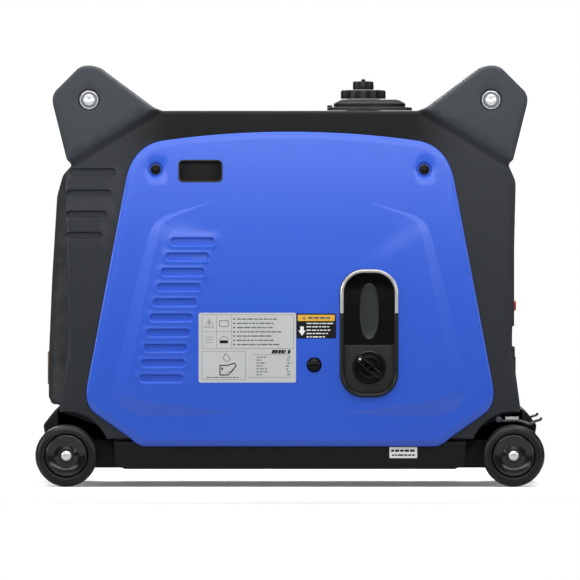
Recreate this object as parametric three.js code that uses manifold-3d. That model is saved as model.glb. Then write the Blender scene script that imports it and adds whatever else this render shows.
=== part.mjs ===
/**
 * Inverter generator: a wheeled, closed-case petrol generator with two carrying bars.
 *
 * Millimetres, +Z up. The origin is on the ground under the middle of the case. X runs along
 * the case (exhaust end at -X, control end at +X) and the starter side faces -Y.
 */
import * as THREE from 'three';
import { mergeVertices } from 'three/addons/utils/BufferGeometryUtils.js';
import Module from 'manifold-3d';

const wasm = await Module();
wasm.setup();

// Overall sizes
const overallLength = 607; // over the wheel treads
const bodyWidth = 412; // between the outer faces of the two side shells
const topHeight = 448; // ground to the flat top

// Clearances
const seat = 0.3; // between pieces that touch
const runningGap = 1; // round moving pieces

// Case
const wall = 4;
const seamHeight = 57; // where the side shells meet the base tray
const trayBottom = 21;
const midWidth = 240; // width of the top and end covers between the side shells
const earProud = 6;
const earWall = 8;
const earDepth = 46;
const coverProud = 8; // the side covers stand out from the shells
const coverSkin = 3.5;

// Wheels
const wheelRadius = 37;
const wheelWidth = 32;
const hubRadius = 26;
const axleRadius = 5;
const archGap = 15; // between the tyre and its arch
const wellDepth = 37;
const wheelProud = 9; // tyre face beyond the side shell

// Carrying bars
const barRadius = 14;
const barBore = 11;

// Brake and tank
const brakeGap = 4.5; // lever plate above the tyre tread
const tankClearance = 62; // tank floor above the engine shroud

// Engine: crankshaft axis along Y
const crankX = 70;
const crankZ = 183;
const shaftRadius = 10;
const shroudRadius = 85;
const pulleyRadius = 35;

// Recoil starter pocket
const pocketX = 94.4;
const pocketZ = 183;
const pocketWidth = 66;
const pocketHeight = 149;
const pocketDepth = 56;
const pocketWall = 3;
const rimProud = 1.4;
const shelfZ = 169;
const gripZ = 209;
const dialZ = 142.6;
const dialRadius = 20;
const ropeRadius = 2.5;

// Fuel filler
const fillerX = 88;
const neckRadius = 20;
const capRadius = 27;

// Places that follow from the sizes above
const wheelX = overallLength / 2 - wheelRadius;
const archRadius = wheelRadius + archGap;
const endX = wheelX - 2; // end walls of the case
const side = bodyWidth / 2;
const top = topHeight;
const wellInner = side - wellDepth;
const midSide = midWidth / 2 - seat;
const coverFace = side + coverProud;
const earFace = side + earProud;
const wheelFace = side + wheelProud;
const boltX = endX - 25;
const boltZ = top + 13;
const engineFront = -58;

// --- geometry helpers -------------------------------------------------------------------

/** Closed three.js geometry to a manifold solid with its faces pointing out. */
function toSolid(geometry) {
  geometry.deleteAttribute('normal');
  geometry.deleteAttribute('uv');
  const merged = mergeVertices(geometry, 1e-4);
  const at = merged.attributes.position;
  const corners = merged.index.array;
  const triangles = [];
  let volume = 0;
  const [a, b, c] = [new THREE.Vector3(), new THREE.Vector3(), new THREE.Vector3()];
  for (let i = 0; i < corners.length; i += 3) {
    const [p, q, r] = [corners[i], corners[i + 1], corners[i + 2]];
    if (p !== q && q !== r && r !== p) {
      triangles.push(p, q, r);
      a.fromBufferAttribute(at, p);
      b.fromBufferAttribute(at, q);
      c.fromBufferAttribute(at, r);
      volume += a.dot(b.cross(c));
    }
  }
  if (volume < 0) triangles.reverse();
  return new wasm.Manifold(new wasm.Mesh({
    numProp: 3,
    vertProperties: new Float32Array(at.array),
    triVerts: new Uint32Array(triangles),
  }));
}

/** Manifold solid back to a three.js geometry. */
function toGeometry(solid) {
  const mesh = solid.getMesh();
  const geometry = new THREE.BufferGeometry();
  geometry.setAttribute('position', new THREE.BufferAttribute(mesh.vertProperties, 3));
  geometry.setIndex(new THREE.BufferAttribute(mesh.triVerts, 1));
  geometry.computeVertexNormals();
  return geometry;
}

const join = (...solids) => solids.reduce((sum, solid) => sum.add(solid));
const cut = (solid, ...tools) => tools.reduce((left, tool) => left.subtract(tool), solid);
const mirrorY = (solid) => solid.mirror([0, 1, 0]);

function box(x0, x1, y0, y1, z0, z1) {
  const geometry = new THREE.BoxGeometry(x1 - x0, y1 - y0, z1 - z0);
  geometry.translate((x0 + x1) / 2, (y0 + y1) / 2, (z0 + z1) / 2);
  return toSolid(geometry);
}

/** Outline in the XZ plane, extruded along Y from y0 to y1. */
function extrudeY(outline, y0, y1, curveSegments = 3) {
  const shape = Array.isArray(outline) ? polygon(outline) : outline;
  const geometry = new THREE.ExtrudeGeometry(shape, {
    depth: y1 - y0, bevelEnabled: false, curveSegments,
  });
  geometry.rotateX(Math.PI / 2);
  geometry.translate(0, y1, 0);
  return toSolid(geometry);
}

/** Outline in the XY plane, extruded along Z from z0 to z1. */
function extrudeZ(outline, z0, z1, curveSegments = 3) {
  const shape = Array.isArray(outline) ? polygon(outline) : outline;
  const geometry = new THREE.ExtrudeGeometry(shape, {
    depth: z1 - z0, bevelEnabled: false, curveSegments,
  });
  geometry.translate(0, 0, z0);
  return toSolid(geometry);
}

/** Profile of [radius, height] points turned about the axis 'x', 'y' or 'z' through (x, y, z). */
function turn(profile, axis, [x, y, z], segments = 16) {
  const points = profile.map(([r, h]) => new THREE.Vector2(r, h));
  const geometry = new THREE.LatheGeometry(points, segments);
  if (axis === 'x') geometry.rotateZ(-Math.PI / 2);
  if (axis === 'z') geometry.rotateX(Math.PI / 2);
  geometry.translate(x, y, z);
  return toSolid(geometry);
}

/** Solid rod of one radius from h0 to h1 along an axis. */
function rod(axis, radius, h0, h1, at, segments = 16) {
  return turn([[0, h0], [radius, h0], [radius, h1], [0, h1]], axis, at, segments);
}

/** Closed tube profile: outer and inner radius from h0 to h1. */
function ring(axis, outer, inner, h0, h1, at, segments = 24) {
  return turn([[inner, h0], [outer, h0], [outer, h1], [inner, h1], [inner, h0]], axis, at, segments);
}

function polygon(points) {
  return new THREE.Shape(points.map(([x, z]) => new THREE.Vector2(x, z)));
}

/** Right-hand half outline, bottom to top, closed by its mirror image in X. */
function symmetric(right) {
  const left = right.filter(([x]) => x > 0).map(([x, z]) => [-x, z]).reverse();
  return [...right, ...left];
}

/** Open path moved sideways by a distance, with mitred corners: positive is to the left. */
function offsetPath(points, distance) {
  const normals = points.slice(1).map(([x, z], i) => {
    const [dx, dz] = [x - points[i][0], z - points[i][1]];
    const length = Math.hypot(dx, dz);
    return [-dz / length, dx / length];
  });
  return points.map(([x, z], i) => {
    const [ax, az] = normals[Math.max(i - 1, 0)];
    const [bx, bz] = normals[Math.min(i, normals.length - 1)];
    const share = distance / (1 + ax * bx + az * bz);
    return [x + (ax + bx) * share, z + (az + bz) * share];
  });
}

/** Closed outline moved inwards by a distance; its points run anticlockwise. */
function inset(points, distance) {
  const last = points.length - 1;
  const looped = [points[last], ...points, points[0]];
  return offsetPath(looped, distance).slice(1, -1);
}

/** Strip of one thickness along an open path, to the left of it. */
function strip(points, thickness) {
  return [...points, ...offsetPath(points, thickness).reverse()];
}

function roundedRect(x, z, width, height, r) {
  const [x0, x1, z0, z1] = [x - width / 2, x + width / 2, z - height / 2, z + height / 2];
  const shape = new THREE.Shape();
  shape.moveTo(x0 + r, z0);
  shape.lineTo(x1 - r, z0);
  shape.absarc(x1 - r, z0 + r, r, -Math.PI / 2, 0, false);
  shape.lineTo(x1, z1 - r);
  shape.absarc(x1 - r, z1 - r, r, 0, Math.PI / 2, false);
  shape.lineTo(x0 + r, z1);
  shape.absarc(x0 + r, z1 - r, r, Math.PI / 2, Math.PI, false);
  shape.lineTo(x0, z0 + r);
  shape.absarc(x0 + r, z0 + r, r, Math.PI, Math.PI * 1.5, false);
  return shape;
}

/** Slot with cut corners, from x0 to x1 about height z. */
function slot(x0, x1, z, height) {
  const [h, c] = [height / 2, height / 3.4];
  return [
    [x0 + c, z - h], [x1 - c, z - h], [x1, z - h + c], [x1, z + h - c],
    [x1 - c, z + h], [x0 + c, z + h], [x0, z + h - c], [x0, z - h + c],
  ];
}

// --- case -------------------------------------------------------------------------------

const shoulder = [endX - 4.5, top - 64]; // where the end wall turns into the slope
const slopeTop = [endX - 109.5, top];
const bodyOutline = symmetric([
  [endX + 9.5, seamHeight + seat], [endX + 9.5, 98], [endX, 169], [endX + 4.5, top - 84],
  shoulder, slopeTop,
]);

/** Ear on one end of a side shell; the outline is for the +X end. */
const earOutline = [
  shoulder, [endX + 1.5, top - 58], [endX + 18, top + 8], [endX + 18.5, top + 16],
  [endX + 15.5, top + 23], [endX - 13, top + 51.5], [endX - 20, top + 54], [endX - 29, top + 54],
  [endX - 36, top + 51.5], [endX - 99, top + 4.5], [slopeTop[0], top - 1],
];
const flip = (points) => points.map(([x, z]) => [-x, z]).reverse();

function coverOutline() {
  const right = new THREE.Path();
  right.moveTo(endX - 90.5, 48);
  right.quadraticCurveTo(endX - 82, 50, endX - 74.5, 57.5);
  right.lineTo(endX - 34, 86);
  right.quadraticCurveTo(endX - 18.5, 97, endX - 23, 122);
  right.lineTo(endX - 68, top - 88);
  right.quadraticCurveTo(endX - 75, top - 43, endX - 110.5, top - 36);
  right.quadraticCurveTo(endX - 184, top - 25, 0, top - 25);
  return symmetric(right.getPoints(5).map((p) => [p.x, p.y]));
}

const screwX = endX - 104.5;
const screwZ = top - 70;
const pullX = -(endX - 157.8); // middle of the finger pull
const pullZ = top - 71.7;
const serviceOpening = symmetric([
  [endX - 100, 78], [endX - 64, 112], [endX - 118, top - 100],
]);

function sideShell(hasPull) {
  const outerEar = earFace;
  const earInside = side - earDepth + earProud;
  const hubs = [wheelX, -wheelX];
  const bodySolid = extrudeY(bodyOutline, -side, -midWidth / 2);
  const ears = [earOutline, flip(earOutline)].map((ear) => extrudeY(ear, -outerEar, -earInside));
  const arch = (radius, depth) => hubs.map((x) => (
    rod('y', radius, -side - 1, -side + depth, [x, 0, wheelRadius], 32)
  ));
  const hollowBody = extrudeY(
    inset(symmetric([
      [endX + 9.5, seamHeight - 3 * wall], [endX + 9.5, 98], [endX, 169], [endX + 4.5, top - 84],
      shoulder, slopeTop,
    ]), wall),
    -side + wall, -midWidth / 2 + 1,
  );
  const cavity = cut(hollowBody, ...arch(archRadius + wall, wellDepth + wall));
  const hollowEars = [earOutline, flip(earOutline)].map((ear) => (
    extrudeY(inset(ear, wall), -outerEar + earWall, -earInside + 1)
  ));
  const bolts = hubs.map((x) => Math.sign(x) * boltX).flatMap((x) => [
    rod('y', 12.5, -outerEar - 1, -outerEar + 4, [x, 0, boltZ], 20),
    rod('y', 5.5, -outerEar, -outerEar + earWall + 1, [x, 0, boltZ], 12),
  ]);
  const screws = [screwX, -screwX].map((x) => (
    rod('y', 3, -side - 1, -side + wall + 1, [x, 0, screwZ], 10)
  ));
  const grooves = [0, 1, 2, 3].map((i) => extrudeY(
    slot(-(endX + 1), -(endX - 57 + 5.4 * i), top - 73.4 - 25.2 * i, 10), -side - 1, -side + 2,
  ));
  const pull = hasPull
    ? [extrudeY(roundedRect(pullX, pullZ, 50, 24, 5), -side - 1, -side + wall + 1, 2)] : [];
  return cut(
    join(bodySolid, ...ears), cavity, ...hollowEars, ...arch(archRadius, wellDepth), ...bolts,
    ...screws, ...grooves, ...pull, extrudeY(serviceOpening, -side - 1, -side + wall + 1),
  );
}

function baseTray() {
  const middle = extrudeY(symmetric([
    [endX - 67.5, trayBottom], [endX - 57.5, trayBottom + 5], [endX - 54.5, trayBottom + 12],
    [endX - 54.5, seamHeight],
  ]), -side, side);
  const lip = endX + 10;
  const ends = extrudeY(symmetric([
    [endX + 18, trayBottom + 1], [endX + 27, seamHeight], [endX + 30, 73], [endX + 20, 86],
    [lip, 95], [lip, seamHeight],
  ]), -wellInner, wellInner);
  const hollowMiddle = box(
    -endX + 66, endX - 66, -side + wall, side - wall, trayBottom + wall, seamHeight + 1,
  );
  const hollowEnds = extrudeY(symmetric([
    [endX + 15, trayBottom + wall], [endX + 23, seamHeight], [endX + 25.7, 72.5],
    [endX + 18, 82.5], [lip + wall, 86], [lip + wall, seamHeight - wall],
    [lip - wall, seamHeight - wall], [lip - wall, seamHeight + 1],
  ]), -wellInner + wall, wellInner - wall);
  const axles = [wheelX, -wheelX].map((x) => (
    rod('y', axleRadius + seat, -side, side, [x, 0, wheelRadius], 16)
  ));
  return cut(join(middle, ends), hollowMiddle, hollowEnds, ...axles);
}

/** Everything on one side of the level joint between the top cover and the end covers. */
const jointZ = shoulder[1];
const aboveJoint = () => box(-overallLength, overallLength, -side, side, jointZ + seat, top * 2);
const belowJoint = () => box(-overallLength, overallLength, -side, side, 0, jointZ);

function topCover() {
  const right = [shoulder[0] + 7, jointZ - 4.2];
  const path = [right, slopeTop, [-slopeTop[0], top], [-right[0], right[1]]];
  return cut(
    extrudeY(strip(path, wall), -midSide, midSide).intersect(aboveJoint()),
    rod('z', neckRadius + 2, top - 20, top + 1, [fillerX, 0, 0], 20),
  );
}

const ventRows = 9;

/** Bulged hot-air grille at the -X end with closed cheeks, and the exhaust outlet low down. */
function exhaustEndCover() {
  const path = [
    [-(endX - 9), jointZ + 5], [-(endX + 7), top - 77], [-(endX + 14), top - 102],
    [-(endX + 20), 247], [-(endX + 24), 151], [-(endX + 24), 106], [-(endX + 20), 97],
    [-(endX + 9.5), 97], [-(endX + 9.5), seamHeight + seat],
  ];
  const closed = (outer, inner) => [
    ...outer, [inner, outer.at(-1)[1]], [inner, outer[0][1]],
  ];
  const cheek = midSide - wall;
  const lining = offsetPath(path, wall);
  const openEnd = [lining.at(-1)[0], seamHeight - 1];
  const hollow = closed([...lining.slice(0, -1), openEnd], -endX + 20);
  const louvres = Array.from({ length: ventRows }, (_, i) => (
    box(-endX - 40, -endX + 6, -90, 90, 196 + 17 * i, 204.5 + 17 * i)
  ));
  return cut(
    extrudeY(closed(path, -endX + 12), -midSide, midSide).intersect(belowJoint()),
    extrudeY(hollow, -cheek, cheek), ...louvres,
    rod('x', outletRadius + 4, -endX - 40, -endX + 6, [0, outletY, outletZ], 20),
  );
}

const outletRadius = 16;
const outletY = -55;
const outletZ = 140;
const panelHalf = 85; // half width of the control panel opening
const panelLow = 190;
const socketZ = 137; // middle of the covered socket
const flapWidth = 60;

function controlEndCover() {
  const path = [
    [endX + 9.5, seamHeight + seat], [endX + 9.5, 97], [endX, 97], [endX, 169],
    [endX + 4.5, top - 84], [endX - 7.2, jointZ + 6],
  ];
  return cut(
    extrudeY(strip(path, wall), -midSide, midSide).intersect(belowJoint()),
    box(endX - 20, endX + 20, -panelHalf, panelHalf, panelLow, top - 100),
    box(endX - 20, endX + 20, -24, 24, socketZ - 22, socketZ + 20),
  );
}

/** Side cover: a shallow pan with louvre grooves and two screw bosses. */
function sideCover() {
  const outline = coverOutline();
  const back = -side - seat;
  const bosses = [screwX, -screwX].map((x) => (
    rod('y', 11, -coverFace + 1, back, [x, 0, screwZ], 16)
  ));
  const sinks = [screwX, -screwX].map((x) => turn([
    [0, -coverFace - 1], [9.5, -coverFace - 1], [9.5, -coverFace], [7, -coverFace + 2.5],
    [7, -coverFace + 5], [3, -coverFace + 5], [3, back + 1], [0, back + 1],
  ], 'y', [x, 0, screwZ], 16));
  const louvres = Array.from({ length: 10 }, (_, i) => {
    const left = -(endX - 121.5 + 6.2 * i - 0.23 * i * i);
    return extrudeY(
      slot(left, left + 52, top - 156 - 18.1 * i, 9), -coverFace - 1, -coverFace + 2,
    );
  });
  const pan = cut(
    extrudeY(outline, -coverFace, back),
    extrudeY(inset(outline, wall), -coverFace + coverSkin, back + 1),
  );
  return cut(join(pan, ...bosses), ...sinks, ...louvres);
}

function nearSideCover() {
  return cut(
    sideCover(),
    extrudeY(
      roundedRect(pocketX, pocketZ, pocketWidth + 2 * seat, pocketHeight + 2 * seat, 28.3),
      -coverFace - 1, -side, 4,
    ),
    extrudeY(roundedRect(pullX, pullZ, 50, 24, 5), -coverFace - 1, -side, 2),
    rod('y', bulbRadius + runningGap, -coverFace - 1, -side, [bulbX, 0, bulbZ], 20),
  );
}

const bulbX = 28.8;
const bulbZ = 145.3;
const bulbRadius = 8.2;

/** Open-fronted cup behind the finger pull. */
function fingerPull() {
  const [w, h] = [50 - 2 * seat, 24 - 2 * seat];
  return cut(
    join(
      extrudeY(roundedRect(pullX, pullZ, w, h, 4.7), -coverFace - seat, -side + 20, 2),
      extrudeY(roundedRect(pullX, pullZ, w + 4, h + 4, 6), -coverFace - 1.2, -coverFace - seat, 2),
    ),
    extrudeY(roundedRect(pullX, pullZ, w - 4, h - 4, 3), -coverFace - 2, -side + 18, 2),
  );
}

/** Starter pocket: deep above the shelf for the grip, shallow below it for the dial. */
function starterPocket() {
  const front = -coverFace - seat - rimProud;
  const back = -coverFace + pocketDepth + pocketWall;
  const shape = (grow) => roundedRect(
    pocketX, pocketZ, pocketWidth + grow, pocketHeight + grow, (pocketWidth + grow) * 0.42,
  );
  const space = shape(-2 * pocketWall);
  const below = box(0, 200, -coverFace - 5, back + 1, 50, shelfZ - pocketWall);
  const above = box(0, 200, -coverFace - 5, back + 1, shelfZ, 300);
  const deep = extrudeY(space, front - 1, back - pocketWall, 4).intersect(above);
  const shallow = extrudeY(space, front - 1, -side, 4);
  const behind = extrudeY(space, -side + pocketWall, back + 1, 4).intersect(below);
  return cut(
    join(
      extrudeY(shape(0), -coverFace - seat, back, 4),
      extrudeY(shape(5), front, -coverFace - seat, 4),
    ),
    deep, shallow, behind,
    rod('y', 3 + runningGap, -side - 5, -side + 8, [pocketX, 0, dialZ], 12),
    rod('y', ropeRadius + runningGap, back - 8, back + 5, [pocketX, 0, gripZ], 12),
  );
}

// --- carrying bars, bolts and screws ------------------------------------------------------

const barEnd = earFace - earWall - seat;

function carryBar(x) {
  return turn([
    [5.5, -barEnd], [barRadius, -barEnd], [barRadius, barEnd], [5.5, barEnd],
    [5.5, barEnd - 20], [barBore, barEnd - 20], [barBore, 20 - barEnd], [5.5, 20 - barEnd],
    [5.5, -barEnd],
  ], 'y', [x, 0, boltZ], 14);
}

function earBolt(x) {
  return turn([
    [0, -earFace - 1.5], [6.2, -earFace - 1.5], [6.2, -earFace + 2], [11, -earFace + 2],
    [11, -earFace + 4 - seat], [5, -earFace + 4 - seat], [5, -barEnd + 18], [0, -barEnd + 18],
  ], 'y', [x, 0, boltZ], 12);
}

function coverScrew(x) {
  return turn([
    [0, -coverFace + 1.5], [5, -coverFace + 1.5], [6.2, -coverFace + 2.5],
    [6.2, -coverFace + 5 - seat], [2.6, -coverFace + 5 - seat], [2.6, -side + 12], [0, -side + 12],
  ], 'y', [x, 0, screwZ], 10);
}

// --- wheels and brake ---------------------------------------------------------------------

const hubDish = 5; // the hub's middle lies this far inside its rim

function tyre(x) {
  const [out, back, r] = [-wheelFace, -wheelFace + wheelWidth, 6];
  const inner = hubRadius + seat;
  return turn([
    [inner, out + 1.5], [wheelRadius - r, out], [wheelRadius - r * 0.3, out + r * 0.3],
    [wheelRadius, out + r], [wheelRadius, back - r], [wheelRadius - r * 0.3, back - r * 0.3],
    [wheelRadius - r, back], [inner, back], [inner, out + 1.5],
  ], 'y', [x, 0, wheelRadius], 28);
}

function hub(x) {
  const [out, back] = [-wheelFace, -wheelFace + wheelWidth];
  const bore = axleRadius + seat;
  return turn([
    [bore, out + hubDish], [14, out + hubDish], [hubRadius - 1.5, out + 0.6], [hubRadius, out + 1.5],
    [hubRadius, back - 2], [10, back - 6], [10, -wellInner - runningGap],
    [bore, -wellInner - runningGap], [bore, out + hubDish],
  ], 'y', [x, 0, wheelRadius], 20);
}

function axle(x) {
  const [cap, face] = [wheelFace + 1, wheelFace - hubDish + seat];
  return turn([
    [0, -cap], [4, -cap + 0.6], [6, -cap + 2], [6, -face], [axleRadius, -face],
    [axleRadius, face], [6, face], [6, cap - 2], [4, cap - 0.6], [0, cap],
  ], 'y', [x, 0, wheelRadius], 16);
}

const brakePlate = 4;
const brakePivot = [wheelX - 15, 2 * wheelRadius + brakeGap + brakePlate / 2];

/** Foot brake: a bent plate over the tyre whose curled end is pressed down. */
function brakeLever() {
  const [x, z] = brakePivot;
  const path = [
    [x - 4, z - 2], [x + 5, z - 2], [x + 22, z - 1.5], [x + 30, z - 4], [x + 35, z - 6.5],
    [x + 49, z - 1.5], [x + 51.5, z],
  ];
  return extrudeY(strip(path, brakePlate), -side + 5, -wellInner - 4);
}

// --- fuel system --------------------------------------------------------------------------

/** Disc with rounded lobes, for the caps that are turned by hand. */
function lobed(radius, lobes, depth) {
  const count = lobes * 4;
  return Array.from({ length: count }, (_, i) => {
    const angle = (2 * Math.PI * i) / count;
    const r = radius - (depth * (1 - Math.cos(lobes * angle))) / 2;
    return [r * Math.cos(angle), r * Math.sin(angle)];
  });
}

const collarTop = top + 13.5;
const neckTop = collarTop + 0.5;
const capBottom = neckTop + 3;
const capTop = top + 25;
const knobTop = top + 38;

function fillerCollar() {
  return cut(
    extrudeZ(roundedRect(fillerX + 7.5, 0, 102, 92, 26), top + seat, collarTop, 3),
    rod('z', neckRadius + 1, top - 1, collarTop + 1, [fillerX, 0, 0], 20),
  );
}

function fuelTank() {
  const bottom = crankZ + shroudRadius + tankClearance;
  const [x0, x1, y, z0, z1] = [-20, slopeTop[0] - 8, 108, bottom, top - wall - seat];
  return cut(
    join(box(x0, x1, -y, y, z0, z1), rod('z', neckRadius, z1 - 5, neckTop, [fillerX, 0, 0], 20)),
    box(x0 + 3, x1 - 3, -y + 3, y - 3, z0 + 3, z1 - 3),
    rod('z', neckRadius - 3, z1 - 10, neckTop + 1, [fillerX, 0, 0], 20),
  );
}

const gasket = () => ring('z', neckRadius, 12, neckTop + seat, capBottom - seat, [fillerX, 0, 0], 20);

function fuelCap() {
  const outline = lobed(capRadius, 12, 2.5).map(([x, y]) => [x + fillerX, y]);
  return cut(
    extrudeZ(outline, collarTop + 0.8, capTop),
    rod('z', neckRadius + 1, collarTop, capBottom, [fillerX, 0, 0], 20),
  );
}

function ventKnob() {
  const outline = lobed(12.5, 8, 1.5).map(([x, y]) => [x + fillerX, y]);
  return join(
    extrudeZ(outline, capTop + seat, knobTop - 2),
    box(fillerX - 2.5, fillerX + 2.5, -11, 11, knobTop - 3, knobTop),
  );
}

// --- engine, recoil starter and alternator --------------------------------------------------

const shroudFront = -coverFace + pocketDepth + pocketWall + 5;
const crank = [crankX, 0, crankZ];

function recoilHousing() {
  const inner = shroudRadius - 3;
  return cut(
    turn([
      [0, shroudFront], [shroudRadius - 6, shroudFront], [shroudRadius, shroudFront + 6],
      [shroudRadius, engineFront - seat], [inner, engineFront - seat], [inner, shroudFront + 7],
      [inner - 4, shroudFront + 3], [6, shroudFront + 3], [6, shroudFront + 20],
      [0, shroudFront + 20],
    ], 'y', crank, 26),
    rod('y', ropeRadius + runningGap, shroudFront - 1, shroudFront + 8, [pocketX, 0, gripZ], 12),
  );
}

function recoilPulley() {
  const [y0, y1] = [shroudFront + 6, shroudFront + 18];
  return turn([
    [6 + seat, y0], [pulleyRadius + 4, y0], [pulleyRadius, y0 + 4], [pulleyRadius, y1 - 4],
    [pulleyRadius + 4, y1], [6 + seat, y1], [6 + seat, y0],
  ], 'y', crank, 24);
}

function starterRope() {
  const gripBack = -side + 20;
  return rod(
    'y', ropeRadius, gripBack + seat, shroudFront + 5, [pocketX, 0, gripZ], 8,
  );
}

/** Recoil grip: a tall rounded handle with a waist behind its face. */
function starterGrip() {
  const oval = (w, h) => {
    const shape = new THREE.Shape();
    shape.absellipse(pocketX, gripZ, w / 2, h / 2, 0, 2 * Math.PI, false);
    return shape;
  };
  const front = -side - 2;
  return join(
    extrudeY(oval(24, 68), front, front + 12, 12),
    extrudeY(oval(15, 44), front + 11, -side + 20, 8),
  );
}

function engineDial() {
  const face = -side - seat;
  const knob = turn([
    [0, face - 5], [dialRadius - 1.5, face - 5], [dialRadius, face - 3.5], [dialRadius, face],
    [3, face], [3, -side + 14], [0, -side + 14],
  ], 'y', [pocketX, 0, dialZ], 24);
  const pointer = box(-dialRadius + 1, dialRadius - 1, face - 9, face - 4, -3.5, 3.5)
    .rotate([0, 38, 0]).translate([pocketX, 0, dialZ]);
  return join(knob, pointer);
}

const primerBulb = () => turn([
  [0, -coverFace - 1.5], [4.5, -coverFace - 0.5], [7.3, -coverFace + 1.5],
  [bulbRadius, -coverFace + 4], [bulbRadius, -side + 2], [0, -side + 2],
], 'y', [bulbX, 0, bulbZ], 16);

function flywheelRotor() {
  const [y0, y1] = [shroudFront + 24, engineFront - 4];
  const bore = shaftRadius + seat;
  const fins = Array.from({ length: 8 }, (_, i) => (
    box(44, shroudRadius - 9, y0, y0 + 12, -1.5, 1.5)
      .rotate([0, 45 * i, 0]).translate([crankX, 0, crankZ])
  ));
  return join(turn([
    [bore, y0 + 2], [24, y0 + 2], [24, y0 + 11], [74, y0 + 11], [74, y1], [66, y1],
    [66, y0 + 16], [bore, y0 + 16], [bore, y0 + 2],
  ], 'y', crank, 24), ...fins);
}

const stator = () => ring(
  'y', 63, 20, shroudFront + 44, engineFront - seat, crank, 24,
);

const crankshaft = () => turn([
  [0, shroudFront + 25], [shaftRadius, shroudFront + 25], [shaftRadius, 96], [0, 96],
], 'y', crank, 16);

const blockHalf = 66;
const blockBottom = 60;

function crankcase() {
  return cut(
    join(
      box(crankX - blockHalf, crankX + blockHalf, engineFront + 4, 90, blockBottom, 245),
      rod('y', shroudRadius, engineFront, engineFront + 6, crank, 32),
    ),
    rod('y', shaftRadius + seat, engineFront - 1, 91, crank, 16),
  );
}

const headFar = crankX - blockHalf - 95;

/** Finned cylinder and head lying towards the exhaust end. */
function cylinderHead() {
  const near = crankX - blockHalf - seat;
  const fins = Array.from({ length: 7 }, (_, i) => (
    box(near - 16 - 11 * i, near - 11 - 11 * i, -48, 78, 132, 236)
  ));
  const core = box(headFar, near, -30, 60, 148, 220);
  const crown = box(headFar, headFar + 12, -48, 78, 132, 236);
  return join(core, crown, ...fins);
}

/** Muffler box with its inlet from the head and its outlet through the end cover. */
function muffler() {
  return cut(
    join(
      box(-endX + 12, -endX + 82, -85, 75, 105, 182),
      rod('x', 12, -endX + 80, headFar - seat, [0, 0, 165], 12),
      rod('x', outletRadius, -endX - 20, -endX + 14, [0, outletY, outletZ], 20),
    ),
    rod('x', outletRadius - 3, -endX - 21, -endX + 60, [0, outletY, outletZ], 16),
  );
}

const carburettor = () => join(
  box(headFar + 15, headFar + 65, 78 + seat, 112, 160, 215),
  rod('y', 14, 110, 122, [headFar + 40, 0, 188], 16),
);

const airFilterBox = () => box(headFar - 30, headFar + 100, 122 + seat, side - 14, 130, 250);

/** Finned inverter housing on the tray floor. */
function inverterModule() {
  const [x0, x1, z0] = [endX - 99, endX - 20, trayBottom + wall + seat];
  const grooves = Array.from({ length: 9 }, (_, i) => (
    box(x0 - 1, x0 + 12, -94 + 22 * i, -82 + 22 * i, z0 + 12, 171)
  ));
  return cut(box(x0, x1, -110, 110, z0, 170), ...grooves);
}

const battery = () => join(
  box(endX - 96, endX - 34, -50, 50, 170 + seat, 245),
  box(endX - 90, endX - 80, -40, -28, 244, 252),
  box(endX - 90, endX - 80, 28, 40, 244, 252),
);

const engineMount = (y) => box(
  crankX - 55, crankX + 55, y - 15, y + 15, trayBottom + wall + seat, blockBottom - seat,
);

// --- control end ----------------------------------------------------------------------------

const panelFace = endX - wall - 1; // outer face of the control panel
const panelBack = panelFace - 4;
const switchY = -55;
const switchZ = top - 135;
const rockerY = 0;
const buttonY = 55;

function controlPanel() {
  return cut(
    box(panelBack, panelFace, -panelHalf - 8, panelHalf + 8, socketZ - 30, top - 92),
    ring('x', 19, 16, panelFace - 1.5, panelFace + 1, [0, 0, socketZ], 20),
    rod('x', 4 + runningGap, panelBack - 1, panelFace + 1, [0, switchY, switchZ], 12),
    box(panelBack - 1, panelFace + 1, rockerY - 8, rockerY + 8, switchZ - 13, switchZ + 13),
    rod('x', 6 + runningGap, panelBack - 1, panelFace + 1, [0, buttonY, switchZ], 12),
  );
}

const startSwitch = () => join(
  turn([
    [0, panelBack - 8], [4, panelBack - 8], [4, panelFace + seat], [13, panelFace + seat],
    [12, panelFace + 6], [0, panelFace + 6],
  ], 'x', [0, switchY, switchZ], 16),
  box(panelFace + 5, panelFace + 10, switchY - 2, switchY + 2, switchZ - 9, switchZ + 9),
);

/** Rocker that tips about a pin along Y. */
const economySwitch = () => extrudeY([
  [panelBack - 3, switchZ - 8], [panelFace + 3.5, switchZ - 10.5], [panelFace + 1.5, switchZ],
  [panelFace + 3.5, switchZ + 10.5], [panelBack - 3, switchZ + 8],
], rockerY - 7, rockerY + 7);

const resetButton = () => turn([
  [0, panelBack - 6], [6, panelBack - 6], [6, panelFace + 4], [4.5, panelFace + 5.5],
  [0, panelFace + 5.5],
], 'x', [0, buttonY, switchZ], 14);

const flapTop = socketZ + 28;

/** Weather cover over the socket, hinged along its top edge. */
function outletCover() {
  return extrudeY([
    [endX + seat, socketZ - 26], [endX + 5, socketZ - 29], [endX + 7.9, socketZ - 24],
    [endX + 7.9, socketZ + 18], [endX + 5, flapTop], [endX + seat, flapTop],
  ], -flapWidth / 2, flapWidth / 2);
}

// --- materials and assembly -------------------------------------------------------------------

function finish(colour, roughness, metalness = 0) {
  return () => new THREE.MeshStandardMaterial({ color: colour, roughness, metalness });
}

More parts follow.
